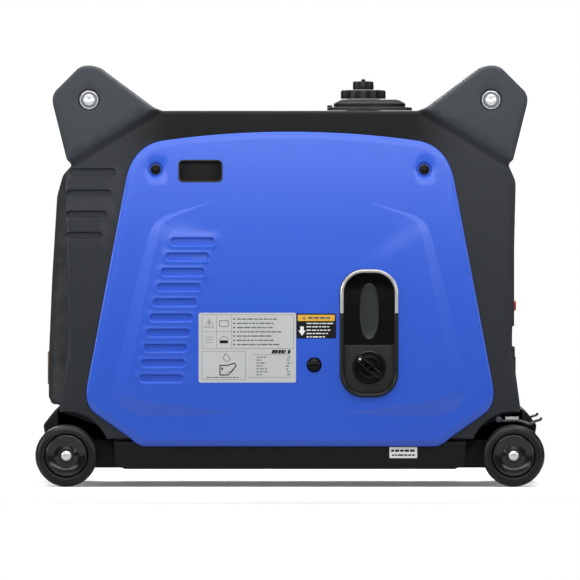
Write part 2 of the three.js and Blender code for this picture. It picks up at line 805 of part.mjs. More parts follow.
const shellBlack = finish(0x393d40, 0.5);
const coverBlue = finish(0x4a74dc, 0.4);
const deepBlack = finish(0x1c1e1e, 0.6);
const tyreBlack = finish(0x1c1e1b, 0.65);
const hubBlack = finish(0x232627, 0.4);
const brightSteel = finish(0xc9ccce, 0.3, 1);
const darkSteel = finish(0x2a2c2e, 0.4, 1);
const castMetal = finish(0xa3a6a8, 0.55, 1);
const hotSteel = finish(0x7d7a75, 0.5, 1);
const copper = finish(0xa0643a, 0.45, 1);
const rubber = finish(0x222222, 0.8);
const panelGrey = finish(0x2b2e31, 0.5);
const buttonRed = finish(0xb02a22, 0.4);
const tankWhite = finish(0xd8d6cf, 0.5);
const ropeGrey = finish(0x3a3a38, 0.9);

const generator = new THREE.Group();

function add(name, solid, material) {
  const mesh = new THREE.Mesh(toGeometry(solid), material());
  mesh.name = name;
  generator.add(mesh);
}

add('base_tray', baseTray(), shellBlack);
add('side_shell_near', sideShell(true), shellBlack);
add('side_shell_far', mirrorY(sideShell(false)), shellBlack);
add('top_cover', topCover(), shellBlack);
add('exhaust_end_cover', exhaustEndCover(), shellBlack);
add('control_end_cover', controlEndCover(), shellBlack);
add('side_cover_near', nearSideCover(), coverBlue);
add('side_cover_far', mirrorY(sideCover()), coverBlue);
add('finger_pull', fingerPull(), deepBlack);
add('starter_pocket', starterPocket(), deepBlack);

for (const [end, sign] of [['left', -1], ['right', 1]]) {
  add(`carry_bar_${end}`, carryBar(sign * boltX), darkSteel);
  add(`axle_${end}`, axle(sign * wheelX), brightSteel);
  for (const place of ['near', 'far']) {
    const set = (solid) => (place === 'near' ? solid : mirrorY(solid));
    add(`ear_bolt_${place}_${end}`, set(earBolt(sign * boltX)), brightSteel);
    add(`cover_screw_${place}_${end}`, set(coverScrew(sign * screwX)), darkSteel);
    add(`tyre_${place}_${end}`, set(tyre(sign * wheelX)), tyreBlack);
    add(`hub_${place}_${end}`, set(hub(sign * wheelX)), hubBlack);
  }
}

add('brake_lever_near', brakeLever(), darkSteel);
add('brake_lever_far', mirrorY(brakeLever()), darkSteel);

add('filler_collar', fillerCollar(), deepBlack);
add('fuel_tank', fuelTank(), tankWhite);
add('fuel_cap_gasket', gasket(), rubber);
add('fuel_cap', fuelCap(), deepBlack);
add('vent_knob', ventKnob(), deepBlack);

add('recoil_housing', recoilHousing(), castMetal);
add('recoil_pulley', recoilPulley(), deepBlack);
add('starter_rope', starterRope(), ropeGrey);
add('starter_grip', starterGrip(), deepBlack);
add('engine_dial', engineDial(), deepBlack);
add('primer_bulb', primerBulb(), rubber);

add('flywheel_rotor', flywheelRotor(), castMetal);
add('alternator_stator', stator(), copper);
add('crankshaft', crankshaft(), brightSteel);
add('crankcase', crankcase(), castMetal);
add('cylinder_head', cylinderHead(), castMetal);
add('muffler', muffler(), hotSteel);
add('carburettor', carburettor(), castMetal);
add('air_filter_box', airFilterBox(), deepBlack);
add('inverter_module', inverterModule(), castMetal);
add('battery', battery(), deepBlack);
add('engine_mount_front', engineMount(-30), rubber);
add('engine_mount_rear', engineMount(60), rubber);

add('control_panel', controlPanel(), panelGrey);
add('start_switch', startSwitch(), deepBlack);
add('economy_switch', economySwitch(), deepBlack);
add('reset_button', resetButton(), buttonRed);
add('outlet_cover', outletCover(), deepBlack);

export default generator;
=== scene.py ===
"""Wheeled inverter generator: detailed casing, wheels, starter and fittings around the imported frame."""

from __future__ import annotations

import logging
import math
import random
from collections.abc import Callable, Sequence
from dataclasses import dataclass
from enum import Enum

import bmesh
import bpy
import numpy as np
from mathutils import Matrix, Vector
from mathutils.geometry import delaunay_2d_cdt

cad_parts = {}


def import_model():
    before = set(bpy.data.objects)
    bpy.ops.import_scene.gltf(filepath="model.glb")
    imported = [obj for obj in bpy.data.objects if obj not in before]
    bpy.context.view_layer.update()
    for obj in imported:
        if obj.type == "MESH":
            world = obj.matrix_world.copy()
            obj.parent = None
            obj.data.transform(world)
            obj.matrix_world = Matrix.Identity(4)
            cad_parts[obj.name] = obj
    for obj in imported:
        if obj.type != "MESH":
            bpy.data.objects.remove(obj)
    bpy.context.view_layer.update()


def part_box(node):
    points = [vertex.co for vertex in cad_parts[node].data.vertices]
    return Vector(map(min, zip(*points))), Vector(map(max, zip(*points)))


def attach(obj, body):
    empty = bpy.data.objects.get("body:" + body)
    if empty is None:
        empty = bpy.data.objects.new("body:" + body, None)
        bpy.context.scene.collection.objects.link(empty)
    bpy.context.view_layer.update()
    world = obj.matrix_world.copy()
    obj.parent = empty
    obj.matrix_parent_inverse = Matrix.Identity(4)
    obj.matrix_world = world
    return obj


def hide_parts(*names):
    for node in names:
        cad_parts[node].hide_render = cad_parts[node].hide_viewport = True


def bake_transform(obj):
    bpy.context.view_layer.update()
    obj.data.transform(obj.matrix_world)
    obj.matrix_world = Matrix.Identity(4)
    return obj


LOG = logging.getLogger("generator")
MM = 0.001
Points = np.ndarray
Colour = tuple[float, float, float]
Pair = tuple[float, float]
Tree = bpy.types.NodeTree
Heights = Callable[[Points], Points]
Piece = bpy.types.Object
CREASE = math.radians(32)  # edges that turn more than this stay sharp
LOUVRES = 10
GROOVES = 4  # in each corner of the near shell
EXHAUST_SLOTS = 9


class Side(Enum):
    """The two long faces of the case; the value is the direction of the face along Y."""

    NEAR = -1
    FAR = 1

    @property
    def word(self) -> str:
        """The side in the CAD names' spelling."""
        return self.name.lower()


class End(Enum):
    """The two ends of the case; the value is the direction along X."""

    LEFT = -1
    RIGHT = 1

    @property
    def word(self) -> str:
        """The end in the CAD names' spelling."""
        return self.name.lower()


# --- outlines -------------------------------------------------------------------------------


def arc(centre: Pair, radius: float, start: float, stop: float, count: int) -> Points:
    """Points on a circle.

    Args:
        centre: Centre of the circle.
        radius: Its radius.
        start: First angle, in degrees.
        stop: Last angle, in degrees.
        count: How many points, both ends included.

    Returns:
        The points, one per row.
    """
    angles = np.radians(np.linspace(start, stop, count))
    return np.column_stack([centre[0] + radius * np.cos(angles), centre[1] + radius * np.sin(angles)])


def filleted(corners: Sequence[tuple[float, float, float]], closed: bool = True) -> Points:
    """Path through corners that are rounded with their own radii.

    Args:
        corners: Each corner's two coordinates and its fillet radius.
        closed: Whether the last corner joins the first.

    Returns:
        The path's points.
    """
    where = np.array([c[:2] for c in corners], float)
    out: list[Points] = []
    count = len(where)
    for i in range(count):
        radius = corners[i][2]
        here = where[i]
        if radius <= 0 or (not closed and i in (0, count - 1)):
            out.append(here[None])
            continue
        before, after = where[i - 1] - here, where[(i + 1) % count] - here
        long_a, long_b = np.linalg.norm(before), np.linalg.norm(after)
        a, b = before / long_a, after / long_b
        half = math.acos(float(np.clip(a @ b, -1, 1))) / 2
        if math.pi / 2 - half < 0.004:
            out.append(here[None])
            continue
        reach = min(radius / math.tan(half), 0.49 * long_a, 0.49 * long_b)
        radius = reach * math.tan(half)
        middle = here + (a + b) / np.linalg.norm(a + b) * radius / math.sin(half)
        first, last = here + a * reach - middle, here + b * reach - middle
        turn = math.atan2(first[0] * last[1] - first[1] * last[0], first @ last)
        steps = max(3, math.ceil(abs(turn) / 0.14))
        start = math.atan2(first[1], first[0])
        angles = start + turn * np.linspace(0, 1, steps + 1)
        out.append(middle + radius * np.column_stack([np.cos(angles), np.sin(angles)]))
    return np.vstack(out)


def bent(start: Pair, control: Pair, stop: Pair,
         count: int = 14) -> Points:
    """Points of a quadratic curve, both ends included."""
    t = np.linspace(0, 1, count)[:, None]
    return (1 - t) ** 2 * np.array(start) + 2 * t * (1 - t) * np.array(control) + t**2 * np.array(stop)


def mirrored(right: Points) -> Points:
    """Closed outline from its right half, listed bottom to top, and the half's mirror image."""
    left = right[right[:, 0] > 1e-6][::-1] * [-1, 1]
    return np.vstack([right, left])


def resampled(path: Points, step: float, closed: bool = True) -> Points:
    """Path with extra points on each stretch that is longer than step."""
    ends = np.roll(path, -1, 0) if closed else path[1:]
    out = []
    for a, b in zip(path, ends):
        parts = max(1, math.ceil(np.linalg.norm(b - a) / step))
        out.append(a + (b - a) * np.arange(parts)[:, None] / parts)
    if not closed:
        out.append(path[-1:])
    return np.vstack(out)


def inset(path: Points, distance: float | Points, closed: bool = True) -> Points:
    """Path moved to its left by a distance, which is inwards for an anticlockwise outline.

    Args:
        path: Outline or open path.
        distance: One distance, or one for each point.
        closed: Whether the path closes on itself.

    Returns:
        The moved path, with as many points.
    """
    ahead, behind = np.roll(path, -1, 0) - path, path - np.roll(path, 1, 0)
    if not closed:
        ahead[-1], behind[0] = behind[-1], ahead[0]

    def unit(v: Points) -> Points:
        return v / np.maximum(np.linalg.norm(v, axis=1, keepdims=True), 1e-9)

    a, b = unit(behind), unit(ahead)
    left_a, left_b = a[:, ::-1] * [-1, 1], b[:, ::-1] * [-1, 1]
    share = 1 + (left_a * left_b).sum(1, keepdims=True)
    move = (left_a + left_b) / np.maximum(share, 0.3)
    return path + move * np.broadcast_to(np.asarray(distance, float), len(path))[:, None]


def rounded_rect(x: float, z: float, width: float, height: float, radius: float) -> Points:
    """Anticlockwise rounded rectangle about (x, z)."""
    w, h = width / 2, height / 2
    return filleted([(x - w, z - h, radius), (x + w, z - h, radius), (x + w, z + h, radius),
                     (x - w, z + h, radius)])


def ellipse(x: float, z: float, width: float, height: float, count: int = 64) -> Points:
    """Anticlockwise ellipse about (x, z)."""
    angles = np.linspace(0, 2 * math.pi, count, endpoint=False)
    return np.column_stack([x + width / 2 * np.cos(angles), z + height / 2 * np.sin(angles)])


def lobed(x: float, y: float, radius: float, lobes: int, depth: float) -> Points:
    """Outline of a hand knob whose edge has round lobes."""
    angles = np.linspace(0, 2 * math.pi, lobes * 12, endpoint=False)
    r = radius - depth * (0.5 - 0.5 * np.cos(lobes * angles)) ** 1.6
    return np.column_stack([x + r * np.cos(angles), y + r * np.sin(angles)])


def nearest(path: Points, where: Points) -> tuple[Points, Points]:
    """Distance to an open path, and how far along it the nearest point lies, in whole vertices."""
    a, d = path[:-1], path[1:] - path[:-1]
    size = np.maximum((d**2).sum(1), 1e-12)
    gap, place = np.full(len(where), 1e9), np.zeros(len(where))
    for start in range(0, len(where), 2000):
        p = where[start : start + 2000, None]
        t = np.clip(((p - a) * d).sum(2) / size, 0, 1)
        gaps = np.linalg.norm(p - (a + t[..., None] * d), axis=2)
        best = gaps.argmin(1)
        rows = np.arange(len(best))
        gap[start : start + 2000] = gaps[rows, best]
        place[start : start + 2000] = best + t[rows, best]
    return gap, place


def distance_to(path: Points, where: Points, closed: bool = True) -> Points:
    """Distance from each point of where to the nearest stretch of path."""
    return nearest(np.vstack([path, path[:1]]) if closed else path, where)[0]


def inside(path: Points, where: Points) -> Points:
    """Whether each point of where lies inside the closed path."""
    x, z = where[:, 0], where[:, 1]
    hit = np.zeros(len(where), bool)
    for (ax, az), (bx, bz) in zip(path, np.roll(path, -1, 0)):
        if az != bz:
            crosses = (az > z) != (bz > z)
            hit ^= crosses & (x < (bx - ax) * (z - az) / (bz - az) + ax)
    return hit


def signed(path: Points, where: Points) -> Points:
    """Distance to the closed path, positive inside it."""
    return np.where(inside(path, where), 1, -1) * distance_to(path, where)


def ease(value: Points | float) -> Points:
    """Smooth step from 0 to 1."""
    t = np.clip(value, 0, 1)
    return t * t * (3 - 2 * t)


def fillet_drop(depth_in: Points, radius: float | Points) -> Points:
    """How far a rounded edge falls away at a distance in from the edge."""
    short = np.clip(1 - depth_in / radius, 0, 1)
    return radius * (1 - np.sqrt(1 - short**2))


# --- meshes ---------------------------------------------------------------------------------


def smoothed(name: str, mesh: bpy.types.Mesh) -> Piece:
    """Object of a mesh, smooth between its sharp edges and linked to the scene."""
    mesh.shade_smooth()
    mesh.set_sharp_from_angle(angle=CREASE)
    obj = bpy.data.objects.new(name, mesh)
    bpy.context.scene.collection.objects.link(obj)
    return obj


def make_object(name: str, verts: Points, faces: Sequence[Sequence[int]]) -> Piece:
    """Mesh object from points in millimetres.

    Args:
        name: The object's name.
        verts: Points in millimetres.
        faces: Corner numbers of each face.

    Returns:
        The object, linked to the scene, with its faces pointing out.
    """
    mesh = bpy.data.meshes.new(name)
    mesh.from_pydata([tuple(v) for v in np.asarray(verts, float) * MM], [], [list(f) for f in faces])
    work = bmesh.new()
    work.from_mesh(mesh)
    bmesh.ops.remove_doubles(work, verts=work.verts, dist=2e-6)
    bmesh.ops.dissolve_degenerate(work, edges=work.edges, dist=1e-7)
    bmesh.ops.recalc_face_normals(work, faces=work.faces)
    work.to_mesh(mesh)
    work.free()
    return smoothed(name, mesh)


def joined(name: str, parts: Sequence[Piece]) -> Piece:
    """One object that holds the meshes of several, which are removed."""
    work = bmesh.new()
    for part in parts:
        work.from_mesh(part.data)
    mesh = bpy.data.meshes.new(name)
    work.to_mesh(mesh)
    work.free()
    for part in parts:
        bpy.data.objects.remove(part)
    return smoothed(name, mesh)


def loft(name: str, rings: Sequence[Points], capped: bool = True) -> Piece:
    """Skin over rings that have the same number of points.

    Args:
        name: The object's name.
        rings: Rings of 3-D points in millimetres.
        capped: Whether the first and the last ring are filled.

    Returns:
        The object.
    """
    n = len(rings[0])
    faces: list[list[int]] = []
    for k in range(len(rings) - 1):
        low, high = k * n, (k + 1) * n
        for i in range(n):
            j = (i + 1) % n
            faces.append([low + i, low + j, high + j, high + i])
    if capped:
        faces.append(list(range(n))[::-1])
        faces.append([(len(rings) - 1) * n + i for i in range(n)])
    return make_object(name, np.vstack(rings), faces)


class Axis(Enum):
    """Which way an outline's plane faces; the third coordinate is the height along that axis."""

    X = "x"
    Y = "y"
    Z = "z"

    def place(self, outline: Points, height: float | Points) -> Points:
        """3-D points of an outline: (Y, Z) facing X, (X, Z) facing Y or (X, Y) facing Z."""
        h = np.broadcast_to(np.asarray(height, float), len(outline))
        u, v = outline[:, 0], outline[:, 1]
        if self is Axis.X:
            return np.column_stack([h, u, v])
        if self is Axis.Y:
            return np.column_stack([u, h, v])
        return np.column_stack([u, v, h])


def rounded_slab(name: str, outline: Points, axis: Axis, start: float, stop: float,
                 radii: Pair = (1.0, 1.0)) -> Piece:
    """Outline pushed along an axis, with both rims rounded.

    Args:
        name: The object's name.
        outline: Closed anticlockwise outline.
        axis: The axis it is pushed along.
        start: Height of the first face.
        stop: Height of the last face.
        radii: Fillet radius at the first and the last face.

    Returns:
        The object.
    """
    way = math.copysign(1, stop - start)
    turns = np.radians([90, 68, 45, 22, 0])
    rings = []
    for radius, face, sign in ((radii[0], start, 1), (radii[1], stop, -1)):
        steps = turns if sign > 0 else turns[::-1]
        for t in steps if radius > 0 else [0.0]:
            shift = radius * (1 - math.cos(t))
            rise = radius * (1 - math.sin(t))
            rings.append(axis.place(inset(outline, shift), face + sign * way * rise))
    return loft(name, rings)


def turned(name: str, profile: Sequence[Pair], axis: Axis, at: tuple[float, float, float],
           segments: int = 72) -> Piece:
    """Profile of (radius, height) points turned about an axis.

    Args:
        name: The object's name.
        profile: Points that start and end on the axis, or a ring that closes on itself.
        axis: The axis.
        at: A point that the axis passes through; heights count from it.
        segments: Steps round the axis.

    Returns:
        The object.
    """
    rings = []
    for radius, height in profile:
        circle = ellipse(0, 0, 2 * max(radius, 1e-4), 2 * max(radius, 1e-4), segments)
        rings.append(axis.place(circle, height) + np.array(at))
    return loft(name, rings, capped=False)


@dataclass
class Relief:
    """Sheet with raised and sunk features, cut by holes, with its rim and back closed.

    It faces the near side; heights count from the middle of the case.

    Attributes:
        outline: Closed anticlockwise outline.
        height: Height of the face at given points.
        back: Height of the back: one level, or a height at given points.
        spacing: Distance between the loose points.
    """

    outline: Points
    height: Heights
    back: float | Heights
    spacing: float = 9.0

    def __post_init__(self) -> None:
        """Start with no holes and no rows of points."""
        self.holes: list[Points] = []
        self.chains: list[tuple[Points, bool]] = []

    def hole(self, ring: Points) -> None:
        """Cut the sheet through along a ring."""
        self.holes.append(ring)

    def follow(self, ring: Points, offsets: Sequence[float | Points], closed: bool = True) -> None:
        """Make the mesh follow a path at some distances to its left."""
        for offset in offsets:
            self.chains.append((inset(ring, offset, closed), closed))

    def _triangles(self, chains: Sequence[tuple[Points, bool]], loose: Points) -> tuple[Points, Points]:
        """Triangulate the area between the outline and the holes."""
        coords = [c for c, _ in chains]
        edges = []
        start = 0
        for chain, closed in chains:
            n = len(chain)
            edges += [(start + i, start + i + 1) for i in range(n - 1)]
            if closed:
                edges.append((start + n - 1, start))
            start += n
        flat = np.vstack([*coords, loose]) if len(loose) else np.vstack(coords)
        found = delaunay_2d_cdt([Vector(p) for p in flat], edges, [], 0, 1e-3)
        where = np.array([tuple(v) for v in found[0]])
        faces = np.array([f for f in found[2] if len(f) == 3])
        middle = where[faces].mean(1)
        keep = inside(self.outline, middle)
        for ring in self.holes:
            keep &= ~inside(ring, middle)
        return where, faces[keep]

    def build(self, name: str) -> Piece:
        """Make the mesh object."""
        back = self.back if callable(self.back) else lambda points: np.full(len(points), self.back)

        rims = [(self.outline, True)] + [(ring, True) for ring in self.holes]
        fixed = rims + [(c, k) for c, k in self.chains]
        low, high = self.outline.min(0), self.outline.max(0)
        across, up = (np.arange(a, b, self.spacing) for a, b in zip(low, high))
        grid = np.stack(np.meshgrid(across, up, indexing="ij"), -1).reshape(-1, 2)
        grid += (np.round((grid[:, 1:] - low[1]) / self.spacing) % 2) * [self.spacing / 2, 0]
        grid = grid[inside(self.outline, grid)]
        for chain, closed in fixed:
            grid = grid[distance_to(chain, grid, closed) > 0.3 * self.spacing]
        where, faces = self._triangles(fixed, grid)
        behind, back_faces = self._triangles(rims, grid if callable(self.back) else np.empty((0, 2)))
        verts = [Axis.Y.place(where, -self.height(where)), Axis.Y.place(behind, -back(behind))]
        polys = [list(f) for f in faces]
        polys += [[len(where) + i for i in f[::-1]] for f in back_faces]
        start = len(where) + len(behind)
        for ring, _ in rims:
            n = len(ring)
            verts += [Axis.Y.place(ring, -self.height(ring)), Axis.Y.place(ring, -back(ring))]
            for i in range(n):
                j = (i + 1) % n
                polys.append([start + i, start + j, start + n + j, start + n + i])
            start += 2 * n
        return make_object(name, np.vstack(verts), polys)


def swept(name: str, path: Points, section: Sequence[Pair], axis: Axis,
          closed: bool = True) -> Piece:
    """Closed cross-section carried along a flat path.

    Args:
        name: The object's name.
        path: Path in the plane.
        section: Points of (distance to the path's left, height), listed round the section.
        axis: The axis that the path's plane faces.
        closed: Whether the path closes on itself.

    Returns:
        The object.
    """
    rings = [axis.place(inset(path, a, closed), h) for a, h in section]
    n, m = len(path), len(section)
    faces = []
    for k in range(m):
        low, high = k * n, (k + 1) % m * n
        for i in range(n if closed else n - 1):
            j = (i + 1) % n
            faces.append([low + i, low + j, high + j, high + i])
    if not closed:
        faces.append([k * n for k in range(m)])
        faces.append([k * n + n - 1 for k in range(m)][::-1])
    return make_object(name, np.vstack(rings), faces)


def block(name: str, low: Sequence[float], high: Sequence[float], radius: float = 0.6) -> Piece:
    """Box between two corners with rounded edges, in millimetres."""
    (x0, y0, z0), (x1, y1, z1) = low, high
    outline = rounded_rect((x0 + x1) / 2, (y0 + y1) / 2, x1 - x0, y1 - y0, max(radius, 0.05))
    return rounded_slab(name, outline, Axis.Z, z0, z1, (radius, radius))


def strip_section(half: float, bevel: float, corner: float) -> list[Pair]:
    """Section of a cover strip 4 mm thick, with its outer edges rounded over."""
    return [(bevel, -half), (4, -half), (4, half), (bevel, half), (corner, half - corner),
            (0, half - bevel), (0, bevel - half), (corner, corner - half)]


def outward(profile: Sequence[Pair], face: float,
            way: float = 1.0) -> list[Pair]:
    """Profile whose heights count outwards from a face."""
    return [(r, way * (face + h)) for r, h in profile]


def cut(target: Piece, cutters: Sequence[Piece], solver: str = "EXACT") -> Piece:
    """Take the cutters' shapes out of target and remove them."""
    for cutter in cutters:
        step = target.modifiers.new("cut", "BOOLEAN")
        step.operation = "DIFFERENCE"
        step.solver = solver
        step.object = cutter
    graph = bpy.context.evaluated_depsgraph_get()
    mesh = bpy.data.meshes.new_from_object(target.evaluated_get(graph))
    target.modifiers.clear()
    target.data = mesh
    for cutter in cutters:
        bpy.data.objects.remove(cutter)
    mesh.shade_smooth()
    mesh.set_sharp_from_angle(angle=CREASE)
    return target


# --- finishes -------------------------------------------------------------------------------


def srgb(red: int, green: int, blue: int) -> Colour:
    """Linear colour from 8-bit display values."""
    values = (red / 255, green / 255, blue / 255)
    return tuple(v / 12.92 if v <= 0.04045 else ((v + 0.055) / 1.055) ** 2.4 for v in values)


class Effect(Enum):
    """Shared node groups."""

    GRAIN = "moulded_grain"
    AGEING = "dust_and_wear"


def new_group(effect: Effect, inputs: dict[str, float | Colour],
              outputs: dict[str, str]) -> Tree:
    """Node group with its sockets and its two end nodes, named in and out."""
    tree = bpy.data.node_groups.new(effect.value, "ShaderNodeTree")
    for name, value in inputs.items():
        kind = "NodeSocketFloat" if isinstance(value, (int, float)) else "NodeSocketColor"
        made = tree.interface.new_socket(name, in_out="INPUT", socket_type=kind)
        made.default_value = value if isinstance(value, (int, float)) else (*value, 1)
    for name, kind in outputs.items():
        tree.interface.new_socket(name, in_out="OUTPUT", socket_type=kind)
    tree.nodes.new("NodeGroupInput").name = "in"
    tree.nodes.new("NodeGroupOutput").name = "out"
    return tree


def feed(tree: Tree, made: bpy.types.Node, inputs: dict[str | int, object]) -> None:
    """Set some of a node's inputs, each to a value or to the socket that feeds it."""
    for key, value in inputs.items():
        if isinstance(value, bpy.types.NodeSocket):
            tree.links.new(value, made.inputs[key])
        else:
            made.inputs[key].default_value = value


def node(tree: Tree, kind: str, inputs: dict[str | int, object] | None = None,
         **settings: object) -> bpy.types.Node:
    """Add a shader node.

    Args:
        tree: The tree it goes into.
        kind: Its type, without the prefix that all types share.
        inputs: For each input, a value or the socket that feeds it.
        settings: The node's own properties.

    Returns:
        The node.
    """
    made = tree.nodes.new("ShaderNode" + kind)
    for key, value in settings.items():
        setattr(made, key, value)
    feed(tree, made, inputs or {})
    return made


def math_node(tree: Tree, operation: str, *values: object) -> bpy.types.NodeSocket:
    """Result of a sum on values or sockets."""
    return node(tree, "Math", dict(enumerate(values)), operation=operation).outputs[0]


def mixed(tree: Tree, factor: object, first: object, second: object,
          blend: str = "MIX") -> bpy.types.NodeSocket:
    """Mixture of two colours."""
    inputs = {"Factor": factor, 6: first, 7: second}
    return node(tree, "Mix", inputs, data_type="RGBA", blend_type=blend).outputs[2]


def grain_group() -> Tree:
    """Fine moulded texture: a height for bumps and a roughness that drifts over the surface."""
    tree = bpy.data.node_groups.get(Effect.GRAIN.value)
    if tree:
        return tree
    inputs = {"Scale": 900.0, "Roughness": 0.4, "Spread": 0.1, "Stretch": 1.0}
    tree = new_group(Effect.GRAIN, inputs, {"Height": "NodeSocketFloat", "Roughness": "NodeSocketFloat"})
    start = tree.nodes["in"].outputs
    where = node(tree, "TexCoord").outputs["Object"]
    along = node(tree, "CombineXYZ", {"X": start["Stretch"], "Y": 1, "Z": 1}).outputs[0]
    stretched = node(tree, "VectorMath", {0: where, 1: along}, operation="MULTIPLY").outputs[0]
    fine = node(tree, "TexNoise", {"Detail": 3, "Vector": stretched, "Scale": start["Scale"]})
    broad = node(tree, "TexNoise", {"Detail": 5, "Vector": where, "Scale": 14})
    drift = math_node(tree, "SUBTRACT", broad.outputs["Fac"], 0.5)
    total = math_node(tree, "MULTIPLY_ADD", drift, start["Spread"], start["Roughness"])
    feed(tree, tree.nodes["out"], {"Height": fine.outputs["Fac"], "Roughness": total})
    return tree


def ageing_group() -> Tree:
    """Colour with rubbed convex edges, dust on faces that look up, and the painted light and shade stored on
    the mesh.
    """
    tree = bpy.data.node_groups.get(Effect.AGEING.value)
    if tree:
        return tree
    grey, dust = (0.5, 0.5, 0.5), (0.42, 0.41, 0.39, 1)
    inputs = {"Colour": grey, "Wear colour": grey, "Wear": 0.2, "Dust": 0.05, "Toned": 0.0}
    tree = new_group(Effect.AGEING, inputs, {"Colour": "NodeSocketColor"})
    start = tree.nodes["in"].outputs
    shape = node(tree, "NewGeometry").outputs
    where = node(tree, "TexCoord").outputs["Object"]
    patches = node(tree, "TexNoise", {"Scale": 70, "Detail": 6, "Vector": where}).outputs["Fac"]
    edges = node(tree, "MapRange", {"From Min": 0.53, "From Max": 0.62, "Value": shape["Pointiness"]})
    rubbed = math_node(tree, "MULTIPLY", edges.outputs[0], patches)
    amount = node(tree, "Math", {0: rubbed, 1: start["Wear"]}, operation="MULTIPLY", use_clamp=True)
    worn = mixed(tree, amount.outputs[0], start["Colour"], start["Wear colour"])
    height = node(tree, "SeparateXYZ", {0: shape["Normal"]}).outputs["Z"]
    upward = node(tree, "MapRange", {"From Min": 0.6, "Value": height})
    film = math_node(tree, "MULTIPLY", math_node(tree, "MULTIPLY", upward.outputs[0], patches), start["Dust"])
    # Painted light and shade: the mesh's stored factors multiply the colour.
    tone = node(tree, "Attribute", attribute_name="tone").outputs["Color"]
    shaded = mixed(tree, start["Toned"], mixed(tree, film, worn, dust), tone, "MULTIPLY")
    feed(tree, tree.nodes["out"], {"Colour": shaded})
    return tree


@dataclass(frozen=True)
class Finish:
    """Surface finish; lengths are in millimetres.

    Attributes:
        slot: The record's material slot; not used.
        colour: Linear base colour.
        roughness: Average roughness.
        metallic: 0 for plastics and rubber, 1 for metals.
        grain: Depth of the fine texture.
        scale: Fineness of the texture, in features per metre.
        stretch: How much finer the texture is along X, for brushed and drawn metal.
        wear: How strongly convex edges are rubbed.
        wear_colour: Colour of rubbed edges.
        dust: How much dust lies on faces that look up.
        specular: Reflection level.
        toned: Whether the painted light and shade stored on the mesh multiply the colour.
    """

    slot: str
    colour: Colour
    roughness: float = 0.42
    metallic: float = 0.0
    grain: float = 0.02
    scale: float = 900.0
    stretch: float = 1.0
    wear: float = 0.5
    wear_colour: Colour = (0.2, 0.2, 0.21)
    dust: float = 0.05
    specular: float = 0.5
    toned: bool = False

    def material(self, name: str) -> bpy.types.Material:
        """Material of this finish, made once for each name."""
        found = bpy.data.materials.get(name)
        if found:
            return found
        made = bpy.data.materials.new(name)
        made.use_nodes = True
        tree = made.node_tree
        grain = node(tree, "Group", {"Scale": self.scale, "Roughness": self.roughness,
                                     "Stretch": self.stretch,
                                     "Spread": 0.22 * self.roughness}, node_tree=grain_group())
        bump = node(tree, "Bump", {"Distance": self.grain * MM, "Strength": 1,
                                   "Height": grain.outputs["Height"]})
        ageing_and_light = node(tree, "Group", {"Colour": (*self.colour, 1), "Wear colour": (*self.wear_colour, 1),
                                      "Wear": self.wear, "Dust": self.dust, "Toned": float(self.toned)},
                      node_tree=ageing_group())
        feed(tree, tree.nodes["Principled BSDF"], {
            "Base Color": ageing_and_light.outputs["Colour"],
            "Roughness": grain.outputs["Roughness"],
            "Normal": bump.outputs["Normal"],
            "Metallic": self.metallic,
            "Specular IOR Level": self.specular,
        })
        return made


# The case black multiplies in the painted light and shade stored on the shell meshes.
CASE_BLACK_PAINTED_LIGHT = Finish("shell_black", srgb(43, 46, 50), roughness=0.45, grain=0.02, scale=1400, specular=0.2,
               toned=True)
PLAIN_BLACK = Finish("shell_black", srgb(38, 41, 44), roughness=0.45, grain=0.02, scale=1400, specular=0.2)
TRAY_BLACK = Finish("shell_black", srgb(14, 16, 16), roughness=0.45, grain=0.03, scale=1400, specular=0.2)
BLUE = Finish("cover_blue", srgb(40, 88, 206), roughness=0.31, grain=0.006, scale=500, wear=0.1,
              wear_colour=srgb(110, 145, 240), dust=0.02, specular=0.62)
# Near-black: black plastic darkened further to paint the shade inside the finger pull and the starter pocket.
BLACK_PAINTED_SHADE = Finish("deep_black", srgb(3, 3, 4), roughness=0.45, grain=0.01, wear=0.1, specular=0.08)
GLOSS = Finish("deep_black", srgb(5, 5, 6), roughness=0.25, grain=0.003, wear=0.1, specular=0.16)
TYRE = Finish("tyre_black", srgb(14, 15, 14), roughness=0.4, specular=0.3, grain=0.03, scale=700, dust=0.12)
HUB = Finish("hub_black", srgb(12, 13, 13), roughness=0.2, grain=0.004, wear=0.3, specular=0.5)
STEEL = Finish("bright_steel", srgb(222, 224, 226), roughness=0.24, metallic=0.4, grain=0.006, wear=0.2,
               wear_colour=srgb(235, 236, 238))
CHROME = Finish("bright_steel", srgb(196, 193, 187), roughness=0.18, metallic=0.3, grain=0.001, wear=0,
                wear_colour=srgb(240, 240, 240))
DARK_STEEL = Finish("dark_steel", srgb(70, 74, 78), roughness=0.34, metallic=0.5, grain=0.01,
                    wear_colour=srgb(140, 142, 145))
CAST = Finish("cast_metal", srgb(150, 152, 154), roughness=0.55, metallic=1, grain=0.12, scale=500)
HOT = Finish("hot_steel", srgb(122, 104, 88), roughness=0.5, metallic=1, grain=0.05, scale=300)
COPPER = Finish("copper_winding", srgb(184, 108, 60), roughness=0.35, metallic=1, grain=0.2, scale=900,
                stretch=6)
RUBBER = Finish("soft_rubber", srgb(30, 30, 31), roughness=0.6, grain=0.03)
GRIP = Finish("soft_rubber", srgb(26, 31, 32), roughness=0.4, grain=0.02, wear=0.6,
              wear_colour=srgb(110, 114, 118))
PANEL = Finish("panel_grey", srgb(58, 60, 63), roughness=0.5, grain=0.02)
PANEL_GLOSS = Finish("panel_grey", srgb(10, 15, 18), roughness=0.3, grain=0.004, wear=0.2, specular=0.3)
GLOSS_KNOB = Finish("deep_black", srgb(4, 4, 5), roughness=0.22, grain=0.003, wear=0.2, specular=0.3)
RED = Finish("button_red", srgb(190, 32, 26), roughness=0.35, wear_colour=srgb(225, 90, 80))
